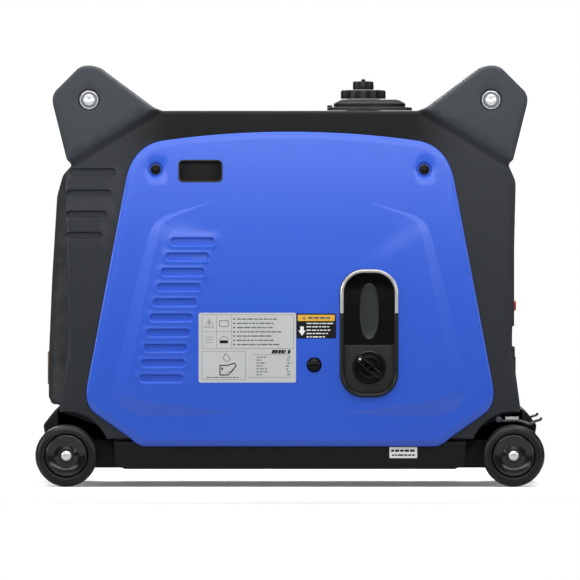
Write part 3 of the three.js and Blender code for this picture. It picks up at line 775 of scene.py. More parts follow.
TANK = Finish("tank_white", srgb(206, 205, 196), roughness=0.45)
ROPE = Finish("rope_grey", srgb(168, 166, 158), roughness=0.8, grain=0.5, scale=900, wear=0.0)
LABEL = Finish("bright_steel", srgb(202, 204, 204), roughness=0.38, metallic=0.25, grain=0.002, wear=0,
               dust=0)
WHITE = Finish("tank_white", srgb(232, 232, 228), roughness=0.5, grain=0.002, wear=0, dust=0)
INK = Finish("deep_black", srgb(20, 20, 22), roughness=0.5, specular=0.15, grain=0.002, wear=0, dust=0)
FADED_INK = Finish("deep_black", srgb(92, 94, 96), roughness=0.5, grain=0.002, wear=0, dust=0)
AMBER = Finish("panel_grey", srgb(226, 172, 48), roughness=0.45, grain=0.002, wear=0, dust=0)


def dress(obj: Piece, finish: Finish, material: str, body: str = "root",
          nodes: Sequence[str] = ()) -> Piece:
    """Give a piece its material and its body, and let it stand for CAD nodes.

    Args:
        obj: The piece.
        finish: Its finish.
        material: The material's name.
        body: The body that it moves with.
        nodes: CAD nodes that it replaces.

    Returns:
        The piece.
    """
    obj.data.materials.clear()
    obj.data.materials.append(finish.material(material))
    if body:
        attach(obj, body)
    if nodes:
        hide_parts(*nodes)
    LOG.info("%s: %d faces on %s", obj.name, len(obj.data.polygons), body or "two bodies")
    return obj


# --- sizes ----------------------------------------------------------------------------------


def box_mm(name: str) -> tuple[Points, Points]:
    """Lowest and highest corner of a CAD node, in millimetres."""
    low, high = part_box(name)
    return np.array(low) / MM, np.array(high) / MM


@dataclass(frozen=True)
class CaseSizes:
    """Lengths of the case in millimetres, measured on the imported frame.

    Attributes:
        wheel_x: Distance of the axles from the middle.
        wheel_z: Height of the axles.
        wheel_r: Radius of the tyres.
        wheel_face: Distance of the tyres' outer faces from the middle.
        wheel_in: Distance of the tyres' inner faces from the middle.
        side: Distance of the plain long faces from the middle.
        ear_face: Distance of the ears' faces from the middle.
        cover_back: Distance of the blue covers' backs from the middle.
        cover_face: Distance of the blue covers' faces from the middle.
        middle: Half the width of the top cover.
        top: Height of the top.
        seam: Height of the joint above the tray.
    """

    wheel_x: float
    wheel_z: float
    wheel_r: float
    wheel_face: float
    wheel_in: float
    side: float
    ear_face: float
    cover_back: float
    cover_face: float
    middle: float
    top: float
    seam: float

    @classmethod
    def measured(cls) -> CaseSizes:
        """Read the sizes from the frame."""
        low, high = box_mm("tyre_near_right")
        cover_low, cover_high = box_mm("side_cover_near")
        return cls(
            wheel_x=(low[0] + high[0]) / 2,
            wheel_z=(low[2] + high[2]) / 2,
            wheel_r=(high[0] - low[0]) / 2,
            wheel_face=-low[1],
            wheel_in=-high[1],
            side=box_mm("base_tray")[1][1],
            ear_face=-box_mm("side_shell_near")[0][1],
            cover_back=-cover_high[1],
            cover_face=-cover_low[1],
            middle=box_mm("top_cover")[1][1],
            top=box_mm("top_cover")[1][2],
            seam=box_mm("exhaust_end_cover")[0][2] - 0.3,
        )

    @property
    def end_x(self) -> float:
        """Distance of the waist of each end from the middle."""
        return self.wheel_x - 2

    @property
    def arch(self) -> float:
        """Radius of the wheel arches."""
        return self.wheel_r + 15

    @property
    def well_in(self) -> float:
        """Distance of the wheel wells' inner walls from the middle."""
        return self.side - 37

    @property
    def shoulder(self) -> Pair:
        """Outer foot of the sloped corner."""
        return self.end_x - 4.5, self.top - 64

    @property
    def slope_top(self) -> Pair:
        """Upper end of the sloped corner."""
        return self.end_x - 109.5, self.top

    @property
    def bolt(self) -> Pair:
        """Centre of the carrying bar and its bolts."""
        return self.end_x - 25, self.top + 13


# --- case -----------------------------------------------------------------------------------


@dataclass
class SideShell:
    """One long half of the black case: face with rounded edges, proud ears, grooves and wheel arches."""

    sizes: CaseSizes
    side: Side
    ear_rise: float = 6.0
    step_width: float = 12.0
    edge: float = 6.5
    groove_height: float = 9.5
    groove_depth: float = 2.6
    # Painted light on the ears and painted shade on the level band at the top, as factors on the colour.
    ear_tone: float = 1.55
    shade: float = 1.1

    @property
    def name(self) -> str:
        """The CAD name of this half."""
        return f"side_shell_{self.side.word}"

    def arch_path(self) -> Points:
        """Right wheel arch from the seam inside the wheel to the end wall."""
        s = self.sizes
        rise, out = s.seam - s.wheel_z, s.end_x + 9.5 - s.wheel_x
        start = math.degrees(math.atan2(rise, -math.sqrt(s.arch**2 - rise**2)))
        stop = math.degrees(math.atan2(math.sqrt(s.arch**2 - out**2), out))
        return arc((s.wheel_x, s.wheel_z), s.arch, start, stop, 26)

    def side_corners(self) -> list[tuple[float, float, float]]:
        """Corners of the right end wall above the wheel, bottom to top."""
        s = self.sizes
        return [(s.end_x + 9.5, 98, 12), (s.end_x, 169, 90), (s.end_x + 4.5, s.top - 84, 24),
                (*s.shoulder, 5)]

    def ear_corners(self) -> list[tuple[float, float, float]]:
        """Corners of the right ear, from its outer foot to the level top."""
        e, t = self.sizes.end_x, self.sizes.top
        return [(e + 1.5, t - 58, 5), (e + 18, t + 8, 14), (e + 18.5, t + 16, 10), (e + 15.5, t + 23, 10),
                (e - 13, t + 51.5, 12), (e - 20, t + 54, 12), (e - 29, t + 54, 12), (e - 36, t + 51.5, 12),
                (e - 99, t + 4.5, 10)]

    def outline(self, arches: bool, ears: bool) -> Points:
        """Closed outline, seen from outside.

        Args:
            arches: Whether the wheel arches are cut out.
            ears: Whether the ears are part of it.
        """
        s = self.sizes
        low = [(0.0, s.seam, 0.0)]
        low += [(x, z, 0.0) for x, z in self.arch_path()] if arches else [(s.end_x + 9.5, s.seam, 4.0)]
        high = self.ear_corners() if ears else []
        right = filleted(low + self.side_corners() + high + [(*s.slope_top, 8), (0, s.top, 0)], closed=False)
        return resampled(mirrored(right), 7)

    def edge_radius(self, where: Points) -> Points:
        """Fillet radius of the face's rim near given points."""
        s = self.sizes
        x, z = np.abs(where[:, 0]), where[:, 1]
        waist = ease((z - 100) / 60) * (1 - ease((z - s.shoulder[1] + 20) / 30))
        waist *= ease((x - s.end_x + 40) / 30)
        return 2.2 + (self.edge - 2.2) * waist + 2.3 * ease((z - s.shoulder[1]) / 20)

    def groove(self, index: int) -> Points:
        """Outline of one of the four side grooves."""
        s = self.sizes
        left, right = -(s.end_x + 2.4 - 3.9 * (index == 0)), -(s.end_x - 57 + 5.4 * index)
        z = s.top - 73.4 - 25.2 * index
        return rounded_rect((left + right) / 2, z, right - left, self.groove_height, 4.6)

    def bolt_points(self) -> list[Pair]:
        """Centres of the ear bolts."""
        x, z = self.sizes.bolt
        return [(x, z), (-x, z)]

    def rise(self, where: Points) -> Points:
        """Distance above the line along the foot of the ear."""
        foot, top = np.array(self.sizes.shoulder), np.array(self.sizes.slope_top)
        along = (top - foot) / np.linalg.norm(top - foot)
        local = np.column_stack([np.abs(where[:, 0]), where[:, 1]]) - foot
        return local @ [along[1], -along[0]]

    def height(self, where: Points) -> Points:
        """Height of the face at given points."""
        above = self.rise(where)
        h = self.sizes.side + self.ear_rise * ease((above + 3) / self.step_width)
        h -= 0.8 * np.exp(-(((above + 3.4) / 1.8) ** 2))
        for i in range(GROOVES if self.side is Side.NEAR else 0):
            inner = signed(self.groove(i), where)
            h -= self.groove_depth * ease((inner + 0.3) / 1.6)
        for x, z in self.bolt_points():
            gap = np.hypot(where[:, 0] - x, where[:, 1] - z)
            h -= 4.0 * ease((13.4 - gap) / 0.9)
        return h - fillet_drop(signed(self.rim, where), self.edge_radius(where))

    def tone(self, where: Points) -> Points:
        """Painted light and shade on the moulding: ears painted lighter as if lit more, the level band at the
        top painted darker as shade.
        """
        s = self.sizes
        above = self.rise(where)
        band = ease((where[:, 1] - s.top + 75) / 45) * ease((s.end_x - 45 - np.abs(where[:, 0])) / 90)
        plain = 1 - self.shade * band
        ear = ease((above - 1) / 9)
        return self.ear_tone * ear + plain * (1 - ear)

    def face(self) -> Piece:
        """The face, from 10 mm behind the plain surface outwards."""
        s = self.sizes
        self.rim = self.outline(arches=True, ears=True)
        sheet = Relief(self.rim, self.height, s.side - 10, spacing=11)
        radii = self.edge_radius(self.rim)
        sheet.follow(self.rim, [radii * share for share in (0.06, 0.25, 0.55, 1.0)])
        foot, top = np.array(s.shoulder), np.array(s.slope_top)
        across = resampled(np.array([foot + (foot - top) * 0.04, top + (top - foot) * 0.04]), 6, closed=False)
        across = across[signed(self.rim, across) > 1.2]
        for sign in (1, -1):
            line = across * [sign, 1] if sign > 0 else (across * [sign, 1])[::-1]
            sheet.follow(line, [-7, -5, -3.4, -2, 0, 2, 4.5, 7, 10, 13], closed=False)
        for i in range(GROOVES if self.side is Side.NEAR else 0):
            sheet.follow(self.groove(i), [-0.3, 0.2, 0.7, 1.3, 2.2])
        for x, z in self.bolt_points():
            sheet.follow(ellipse(x, z, 26.8, 26.8, 48), [-0.3, 0.1, 0.5, 0.95, 1.6])
        for ring in self.openings():
            sheet.hole(ring)
        return sheet.build(self.name + "_face")

    def openings(self) -> list[Points]:
        """Holes behind the side cover."""
        if self.side is Side.FAR:
            return []
        low, high = box_mm("starter_pocket")
        pull_low, pull_high = box_mm("finger_pull")
        return [rounded_rect((low[0] + high[0]) / 2, (low[2] + high[2]) / 2, high[0] - low[0] - 3,
                             high[2] - low[2] - 3, 28),
                rounded_rect((pull_low[0] + pull_high[0]) / 2, (pull_low[2] + pull_high[2]) / 2,
                             pull_high[0] - pull_low[0] - 2, pull_high[2] - pull_low[2] - 2, 6)]

    def build(self) -> Piece:
        """Make the half shell and put it in place."""
        s = self.sizes
        face = self.face()
        # Store the painted light and shade per vertex: lighter ears, darker band at the top.
        painted_shades = self.tone(np.array([(v.co.x / MM, v.co.z / MM) for v in face.data.vertices]))
        layer = face.data.color_attributes.new("tone", "FLOAT_COLOR", "POINT")
        for item, value in zip(layer.data, painted_shades):
            item.color = (value, value, value, 1)
        skin = [(0, -(s.side - 10)), (4, -(s.side - 10)), (4, -s.well_in), (0, -s.well_in)]
        parts = [face, swept("band", self.outline(True, False), skin, Axis.Y)]
        barrel = [(0, -s.well_in), (4, -s.well_in), (4, -s.middle - 0.3), (0, -s.middle - 0.3)]
        parts.append(swept("barrel", self.outline(False, False), barrel, Axis.Y))
        for sign in (1, -1):
            parts.append(self.ear_back(sign))
            parts.append(self.well_wall(sign))
        # The ear backs carry the ears' painted light; the other parts stay at 1, with no painted light or
        # shade.
        for part in parts[1:]:
            extra = part.data.color_attributes.new("tone", "FLOAT_COLOR", "POINT")
            grey = self.ear_tone if part.name.startswith("ear") else 1.0
            for item in extra.data:
                item.color = (grey, grey, grey, 1)
        shell = joined(self.name + "_shell", parts)
        if self.side is Side.FAR:
            turn_round(shell)
        return dress(shell, CASE_BLACK_PAINTED_LIGHT, "moulded_case_black", nodes=[self.name])

    def ear_back(self, sign: int) -> Piece:
        """Thick back part of one ear, down into the sloped corner."""
        s = self.sizes
        x0, z0 = s.shoulder
        x1, z1 = s.slope_top
        base = [(x1 - 2, z1 - 4, 0), (x0 - 4, z0 - 2, 0), (x0, z0, 3)]
        outline = filleted(base + self.ear_corners())
        outline = outline if sign > 0 else (outline * [-1, 1])[::-1]
        return rounded_slab("ear", resampled(outline, 7), Axis.Y, -(s.side - 40), -(s.side - 10), (4, 0))

    def well_wall(self, sign: int) -> Piece:
        """Inner wall of one wheel well."""
        s = self.sizes
        arch = self.arch_path()
        outline = np.vstack([arch, [[s.end_x + 9.5, s.seam]]])
        outline = outline[::-1] if sign > 0 else outline * [-1, 1]
        return rounded_slab("well", outline, Axis.Y, -s.well_in + 3, -s.well_in, (0, 0))


def turn_round(obj: Piece) -> None:
    """Turn a mesh half a turn about Z, from the near side to the far side."""
    for vertex in obj.data.vertices:
        vertex.co.x, vertex.co.y = -vertex.co.x, -vertex.co.y
    obj.data.update()


# --- side covers ----------------------------------------------------------------------------


@dataclass
class SideCover:
    """Blue cover of one long side, with a proud field framed by tapering bands."""

    sizes: CaseSizes
    side: Side
    border: float = 3.2
    slope: float = 0.2
    louvre_width: float = 50.5
    louvre_height: float = 9.0
    louvre_depth: float = 2.3

    def outline(self) -> Points:
        """Closed outline, seen from outside."""
        e, t = self.sizes.end_x, self.sizes.top
        right = np.vstack([
            [[0, 48]],
            bent((e - 90.5, 48), (e - 82, 50), (e - 74.5, 57.5)),
            bent((e - 34, 86), (e - 18.5, 97), (e - 23, 122)),
            bent((e - 68, t - 88), (e - 75, t - 43), (e - 110.5, t - 36)),
            bent((e - 110.5, t - 36), (e - 184, t - 25), (0, t - 25))[1:],
        ])
        return resampled(mirrored(right), 6)

    def bands(self) -> tuple[Points, Points]:
        """Outer and inner line of the right-hand band, from the bottom tip to the top tip."""
        e, t = self.sizes.end_x, self.sizes.top
        outer = [(e - 209.5, 87, 0), (e - 90.5, 85, 50), (e - 73.5, 88, 30), (e - 60, 98, 24),
                 (e - 52, 112, 22), (e - 79.5, t - 213, 90), (e - 95, t - 152, 60), (e - 101.5, t - 134, 26),
                 (e - 118, t - 124, 40), (e - 170.5, t - 109, 0)]
        inner = [(e - 209.5, 87, 0), (e - 139.5, 96, 60), (e - 83.5, 104, 24), (e - 73.5, 109, 18),
                 (e - 70.5, 119, 18),
                 (e - 94, t - 213, 90), (e - 106.5, t - 152, 60), (e - 110.5, t - 134, 18),
                 (e - 130.5, t - 123, 40), (e - 170.5, t - 109, 0)]
        return (resampled(filleted(outer, closed=False), 5, closed=False),
                resampled(filleted(inner, closed=False), 5, closed=False))

    def louvre(self, index: int) -> Points:
        """Outline of one blind louvre."""
        e, t = self.sizes.end_x, self.sizes.top
        left = 1.6 - (e - 121.5 + 6.2 * index - 0.23 * index**2)
        z = t - 156 - 18.1 * index
        return rounded_rect(left + self.louvre_width / 2, z, self.louvre_width, self.louvre_height, 3.2)

    def screws(self) -> list[Pair]:
        """Centres of the two screws."""
        e, t = self.sizes.end_x, self.sizes.top
        return [(e - 104.5, t - 70), (-(e - 104.5), t - 70)]

    def field_rise(self, where: Points) -> Points:
        """Rise of the field and its bands over the border."""
        outer, inner = self.lines
        mirrored_x = np.column_stack([np.abs(where[:, 0]), where[:, 1]])
        out_gap, _ = nearest(outer, mirrored_x)
        in_gap, place = nearest(inner, mirrored_x)
        width = np.interp(place, np.arange(len(inner)), self.widths)
        loop = np.vstack([outer, inner[::-1]])
        in_band = inside(loop, mirrored_x)
        field = np.vstack([outer, [[0, outer[-1, 1]], [0, outer[0, 1]]]])
        in_field = inside(field, mirrored_x) & ~in_band
        decay = 1 - ease((in_gap - 2) / 95)
        rise = np.where(in_band, np.minimum(out_gap, width), 0.0) + np.where(in_field, width * decay, 0.0)
        return self.slope * rise

    def height(self, where: Points) -> Points:
        """Height of the face at given points."""
        s = self.sizes
        h = s.cover_face - self.border + self.field_rise(where)
        in_rim = signed(self.rim, where)
        h -= fillet_drop(in_rim, 1.6)
        steep = 2.5 - 2.2 * ease((where[:, 1] - s.top + 105) / 45)
        h -= steep * np.clip(1 - (in_rim - 0.4) / 7.6, 0, 1)
        if self.side is Side.NEAR:
            for i in range(LOUVRES):
                inner = signed(self.louvre(i), where)
                h -= self.louvre_depth * ease((inner + 0.5) / 1.5)
                h += 0.28 * np.exp(-(((inner + 1.5) / 0.7) ** 2))
        for x, z in self.screws():
            gap = np.hypot(where[:, 0] - x, where[:, 1] - z)
            h -= 3.2 * ease((9.6 - gap) / 2.2)
        return h

    def build(self) -> Piece:
        """Make the cover and put it in place."""
        s = self.sizes
        near = self.side is Side.NEAR
        self.rim = self.outline()
        self.lines = self.bands()
        outer, inner = self.lines
        self.widths = distance_to(outer, inner, closed=False)
        sheet = Relief(self.rim, self.height, s.cover_back, spacing=10)
        sheet.follow(self.rim, [0.12, 0.45, 1.0, 1.7, 4.5, 7.3, 8.0, 8.7])
        for line in self.lines:
            sheet.follow(line, [0.0], closed=False)
            sheet.follow((line * [-1, 1])[::-1], [0.0], closed=False)
            sheet.follow(line, [-1.0, 1.0], closed=False)
            sheet.follow((line * [-1, 1])[::-1], [-1.0, 1.0], closed=False)
        if near:
            for i in range(LOUVRES):
                sheet.follow(self.louvre(i), [-2.2, -1.5, -0.9, -0.4, 0.1, 0.5, 1.0, 1.8])
            for ring in self.openings():
                sheet.hole(ring)
                sheet.follow(ring, [-0.6, -2.0])
        for x, z in self.screws():
            sheet.follow(ellipse(x, z, 19.2, 19.2, 40), [-0.3, 0.4, 1.0, 1.7, 2.3])
        cover = sheet.build(f"side_cover_{self.side.word}_panel")
        if not near:
            turn_round(cover)
        return dress(cover, BLUE, "gloss_blue", nodes=[f"side_cover_{self.side.word}"])

    def openings(self) -> list[Points]:
        """Holes for the finger pull, the starter pocket and the primer."""
        out = []
        for name, radius, trim in (("starter_pocket", 29, 1.0), ("finger_pull", 6, 0.8),
                                   ("primer_bulb", 8.6, -0.8)):
            low, high = box_mm(name)
            (w, _, h), (x, _, z) = high - low - 2 * trim, (low + high) / 2
            out.append(rounded_rect(x, z, w, h, radius))
        return out


# --- wheels and brakes ----------------------------------------------------------------------


@dataclass
class Wheel:
    """Wheel with a smooth tyre, a dished hub and the end of its axle."""

    sizes: CaseSizes
    side: Side
    end: End

    @property
    def suffix(self) -> str:
        """The CAD name's ending."""
        return f"{self.side.word}_{self.end.word}"

    def at(self, radius: float, outward: float) -> Pair:
        """Profile point at a radius, with a distance in from the tyre's outer face."""
        return radius, self.side.value * (self.sizes.wheel_face - outward)

    def tyre(self) -> Piece:
        """Tyre with round shoulders, a shallow tread line and a rim groove."""
        s = self.sizes
        wide, r, hub = s.wheel_face - s.wheel_in, s.wheel_r, 26.3
        outside = [(hub, 7), (hub, 1.6), (hub + 0.5, 0.9), (hub + 1.4, 0.6), (hub + 2.6, 0.25),
                   (r - 7.4, 0.3),
                   (r - 5.2, 0.9), (r - 3.2, 2.2), (r - 1.6, 4.0), (r - 0.6, 6.2), (r - 0.12, 8.6), (r, 11)]
        tread = [(r, wide / 2 - 1.1), (r - 0.5, wide / 2 - 0.6), (r - 0.5, wide / 2 + 0.6),
                 (r, wide / 2 + 1.1)]
        back = [(a, wide - b) for a, b in outside[::-1]]
        ring = outside + tread + back
        profile = [self.at(a, b) for a, b in ring]
        return turned(f"tyre_{self.suffix}_rubber", profile + profile[:1], Axis.Y,
                      (self.end.value * s.wheel_x, 0, s.wheel_z), 112)

    def hub(self) -> Piece:
        """Hub with a rolled rim, a dished cone and a flat boss."""
        s = self.sizes
        profile = [(5.2, 2.4), (9.2, 2.4), (10.0, 2.9), (12.2, 3.9), (13.4, 4.6), (14.2, 4.9), (15.2, 4.8),
                   (21.2, 1.9), (22.0, 1.4), (22.9, 1.0), (23.9, 1.0), (24.7, 1.5), (25.2, 2.4), (25.4, 3.6),
                   (25.9, 5.2), (25.9, 28), (22, 28), (22, 18), (11, 16), (11, 45), (5.2, 45)]
        points = [self.at(a, b) for a, b in profile]
        return turned(f"hub_{self.suffix}_dish", points + points[:1], Axis.Y,
                      (self.end.value * s.wheel_x, 0, s.wheel_z), 96)

    def build(self) -> None:
        """Make the wheel and put it on its own body."""
        dress(self.tyre(), TYRE, "tyre_rubber", f"wheel_{self.suffix}", [f"tyre_{self.suffix}"])
        dress(self.hub(), HUB, "hub_plastic", f"wheel_{self.suffix}", [f"hub_{self.suffix}"])


@dataclass
class Axle:
    """Steel axle under one end, with a pressed cap at each end."""

    sizes: CaseSizes
    end: End

    def build(self) -> None:
        """Make the axle and its caps."""
        s = self.sizes
        where = (self.end.value * s.wheel_x, 0, s.wheel_z)
        name = self.end.word
        tip = s.wheel_face + 1
        half = [(0, tip), (2.6, tip - 0.15), (4.4, tip - 0.6), (5.6, tip - 1.5), (6.0, tip - 2.3),
                (6.0, tip - 2.9), (5.0, tip - 3.0), (5.0, 0)]
        profile = half + [(r, -y) for r, y in half[::-1]]
        rod = turned(f"axle_{name}_rod", profile, Axis.Y, where, 48)
        dress(rod, STEEL, "zinc_plated_steel", nodes=[f"axle_{name}"])


@dataclass
class Brake:
    """Foot lever with a rolled tip over one right-hand wheel."""

    sizes: CaseSizes
    side: Side

    def build(self) -> None:
        """Make the lever, its bright strap and its pivot screw."""
        side = self.side.word
        x0, z0 = box_mm(f"brake_lever_{side}")[0][0] + 2, 2 * self.sizes.wheel_z + 6.5
        corners = [(x0 - 4, z0 - 2, 0), (x0 + 5, z0 - 2, 4), (x0 + 22, z0 - 1.5, 8), (x0 + 30, z0 - 4, 5),
                   (x0 + 35, z0 - 6.2, 5), (x0 + 44, z0 - 2.2, 6), (x0 + 49, z0 - 0.8, 2.5),
                   (x0 + 50.6, z0 + 1.6, 2)]
        path = resampled(filleted(corners, closed=False), 2.5, closed=False)
        y0, y1 = sorted((self.side.value * (self.sizes.side - 5), self.side.value * (self.sizes.side - 33)))
        section = [(1.5, y0 + 1), (1.2, y0 + 0.3), (0.6, y0), (-0.6, y0), (-1.2, y0 + 0.3), (-1.5, y0 + 1),
                   (-1.5, y1 - 1), (-1.2, y1 - 0.3), (-0.6, y1), (0.6, y1), (1.2, y1 - 0.3), (1.5, y1 - 1)]
        plate = swept(f"brake_lever_{side}_plate", path, section, Axis.Y, closed=False)
        dress(plate, DARK_STEEL, "black_plated_steel", f"brake_{side}", [f"brake_lever_{side}"])
        face = self.side.value * (self.sizes.side - 4.6)
        strap = block(f"brake_strap_{side}", (x0 + 7, min(face, face - self.side.value * 5), z0 - 0.5),
                      (x0 + 23, max(face, face - self.side.value * 5), z0 + 3.2), 0.5)
        dress(strap, STEEL, "zinc_plated_steel", f"brake_{side}")
        way = self.side.value
        screw = [(0, 2.6), (1.8, 2.6), (3.2, 2.0), (3.8, 1.0), (4.0, 0), (0, 0)]
        head = turned(f"brake_pivot_{side}", outward(screw, self.sizes.side - 5, way),
                      Axis.Y, (x0 - 0.5, 0, z0), 40)
        dress(head, DARK_STEEL, "black_plated_steel", f"brake_{side}")


# --- case parts -----------------------------------------------------------------------------


@dataclass
class BaseTray:
    """Shallow tray under the case, with raised ends between the wheels."""

    sizes: CaseSizes

    def build(self) -> None:
        """Make the middle, the two ends and the ribs along the sides."""
        s = self.sizes
        e, half, low = s.end_x, s.end_x - 54.5, box_mm("base_tray")[0][2]
        right = filleted([(0, low, 0), (half - 13, low, 6), (half - 3, low + 5, 5), (half, low + 12, 8),
                          (half, s.seam - 0.3, 1), (0, s.seam - 0.3, 0)], closed=False)
        middle = rounded_slab("middle", resampled(mirrored(right), 30), Axis.Y, -s.side, s.side, (3, 3))
        parts = [middle]
        for sign in (1, -1):
            end = filleted([(half - 30, low + 1, 2), (e + 18, low + 1, 5), (e + 27, s.seam, 6),
                            (e + 30, s.seam + 16, 7),
                            (e + 20, s.seam + 29, 6), (e + 10, s.seam + 38, 2), (e + 10, s.seam + 2, 1),
                            (half - 30, s.seam - 1, 1)])
            end = end if sign > 0 else (end * [-1, 1])[::-1]
            parts.append(rounded_slab("end", resampled(end, 20), Axis.Y, -s.well_in, s.well_in, (2.5, 2.5)))
        for x in (-150, -50, 50, 150):
            for y in (-1, 1):
                face = y * (s.side - 0.4)
                rib = block("rib", (x - 26, min(face, face - y * 4), low + 8),
                            (x + 26, max(face, face - y * 4), low + 9.2), 0.3)
                parts.append(rib)
        tray = joined("base_tray_moulding", parts)
        dress(tray, TRAY_BLACK, "tray_plastic", nodes=["base_tray"])


@dataclass
class TopCover:
    """Middle strip of the top, from one sloped corner over the level top to the other."""

    sizes: CaseSizes

    def build(self) -> None:
        """Make the strip with its stiffening ribs and the filler hole."""
        s = self.sizes
        corners = [(s.shoulder[0] - 1.0, s.top - 63.7, 0), (*s.slope_top, 14), (0, s.top, 0)]
        right = filleted(corners, closed=False)
        path = resampled(np.vstack([right, (right[:-1] * [-1, 1])[::-1]]), 14, closed=False)
        section = strip_section(s.middle, 1.2, 0.35)
        strip = swept("top_cover_strip", path, section, Axis.Y, closed=False)
        ribs_end = box_mm("filler_collar")[0][0] - 14
        hole = turned("hole", [(0, s.top - 30), (21.5, s.top - 30), (21.5, s.top + 30), (0, s.top + 30)],
                      Axis.Z, ((box_mm("fuel_cap")[0] + box_mm("fuel_cap")[1])[0] / 2, 0, 0))
        strip = cut(strip, [hole])
        ribs = []
        for k in range(5):
            yk = -72 + 36 * k
            ribs.append(block("rib", (-150, yk - 3, s.top - 1), (ribs_end, yk + 3, s.top), 0.4))
        strip = joined("top_cover_skin", [strip, *ribs])
        dress(strip, PLAIN_BLACK, "moulded_black", nodes=["top_cover"])


@dataclass
class ExhaustEnd:
    """Left end cover: bulged, with level louvres and the exhaust outlet."""

    sizes: CaseSizes

    def build(self) -> None:
        """Make the cover, its slats and the outlet screen."""
        s = self.sizes
        e, t = s.end_x, s.top
        corners = [(-(e - 9), t - 59, 0), (-(e + 7), t - 77, 16), (-(e + 14), t - 102, 30),
                   (-(e + 20), 247, 60),
                   (-(e + 24), 151, 60), (-(e + 24), 106, 8), (-(e + 20), 97, 5.5), (-(e + 9.5), 97, 5),
                   (-(e + 9.5), s.seam + 0.3, 0)]
        path = resampled(filleted(corners, closed=False), 10, closed=False)
        y = s.middle
        shell = swept("exhaust_cover", path, strip_section(y, 2.5, 0.7), Axis.Y, closed=False)
        tools = [block("slot", (-(e + 40), -90, 196 + 17 * i), (-(e - 20), 90, 204.5 + 17 * i), 2.0)
                 for i in range(EXHAUST_SLOTS)]
        tools.append(turned("hole", [(0, -(e + 40)), (20, -(e + 40)), (20, -(e - 20)), (0, -(e - 20))],
                            Axis.X, (0, -55, 140)))
        shell = cut(shell, tools, "MANIFOLD")
        cheeks = []
        for sign in (1, -1):
            outline = np.vstack([path[path[:, 1] > 97.5], [[-(e - 2), 98], [-(e - 2), t - 70]]])
            cheeks.append(rounded_slab("cheek", outline, Axis.Y, sign * (y - 4), sign * (y - 0.4), (0, 0)))
        cover = joined("exhaust_end_cover_shell", [shell, *cheeks])
        dress(cover, PLAIN_BLACK, "moulded_black", nodes=["exhaust_end_cover"])
        for i in range(EXHAUST_SLOTS):
            z = 200.2 + 17 * i
            x = np.interp(z, path[::-1, 1], path[::-1, 0])
            slat = block(f"exhaust_slat_{i}", (x + 3.6, -91, z - 5.2), (x + 11, 91, z - 3.8), 0.4)
            dress(slat, PLAIN_BLACK, "moulded_black")
        ring = [(20, -(e + 25.0)), (20, -(e + 20)), (17.6, -(e + 20)), (17.6, -(e + 25.0)),
                (18.4, -(e + 25.7)), (19.4, -(e + 25.7)), (20, -(e + 25.0))]
        dress(turned("exhaust_outlet_ring", ring, Axis.X, (0, -55, 140)), HOT, "heat_stained_steel")
        wires = []
        for k in range(-4, 5):
            reach = math.sqrt(max(17.6**2 - (4 * k) ** 2, 1))
            wires.append(block("wire", (-(e + 21.2), -55 + 4 * k - 0.4, 140 - reach),
                               (-(e + 20.6), -55 + 4 * k + 0.4, 140 + reach), 0.2))
            wires.append(block("wire", (-(e + 21.9), -55 - reach, 140 + 4 * k - 0.4),
                               (-(e + 21.3), -55 + reach, 140 + 4 * k + 0.4), 0.2))
        dress(joined("exhaust_spark_screen", wires), HOT, "heat_stained_steel")


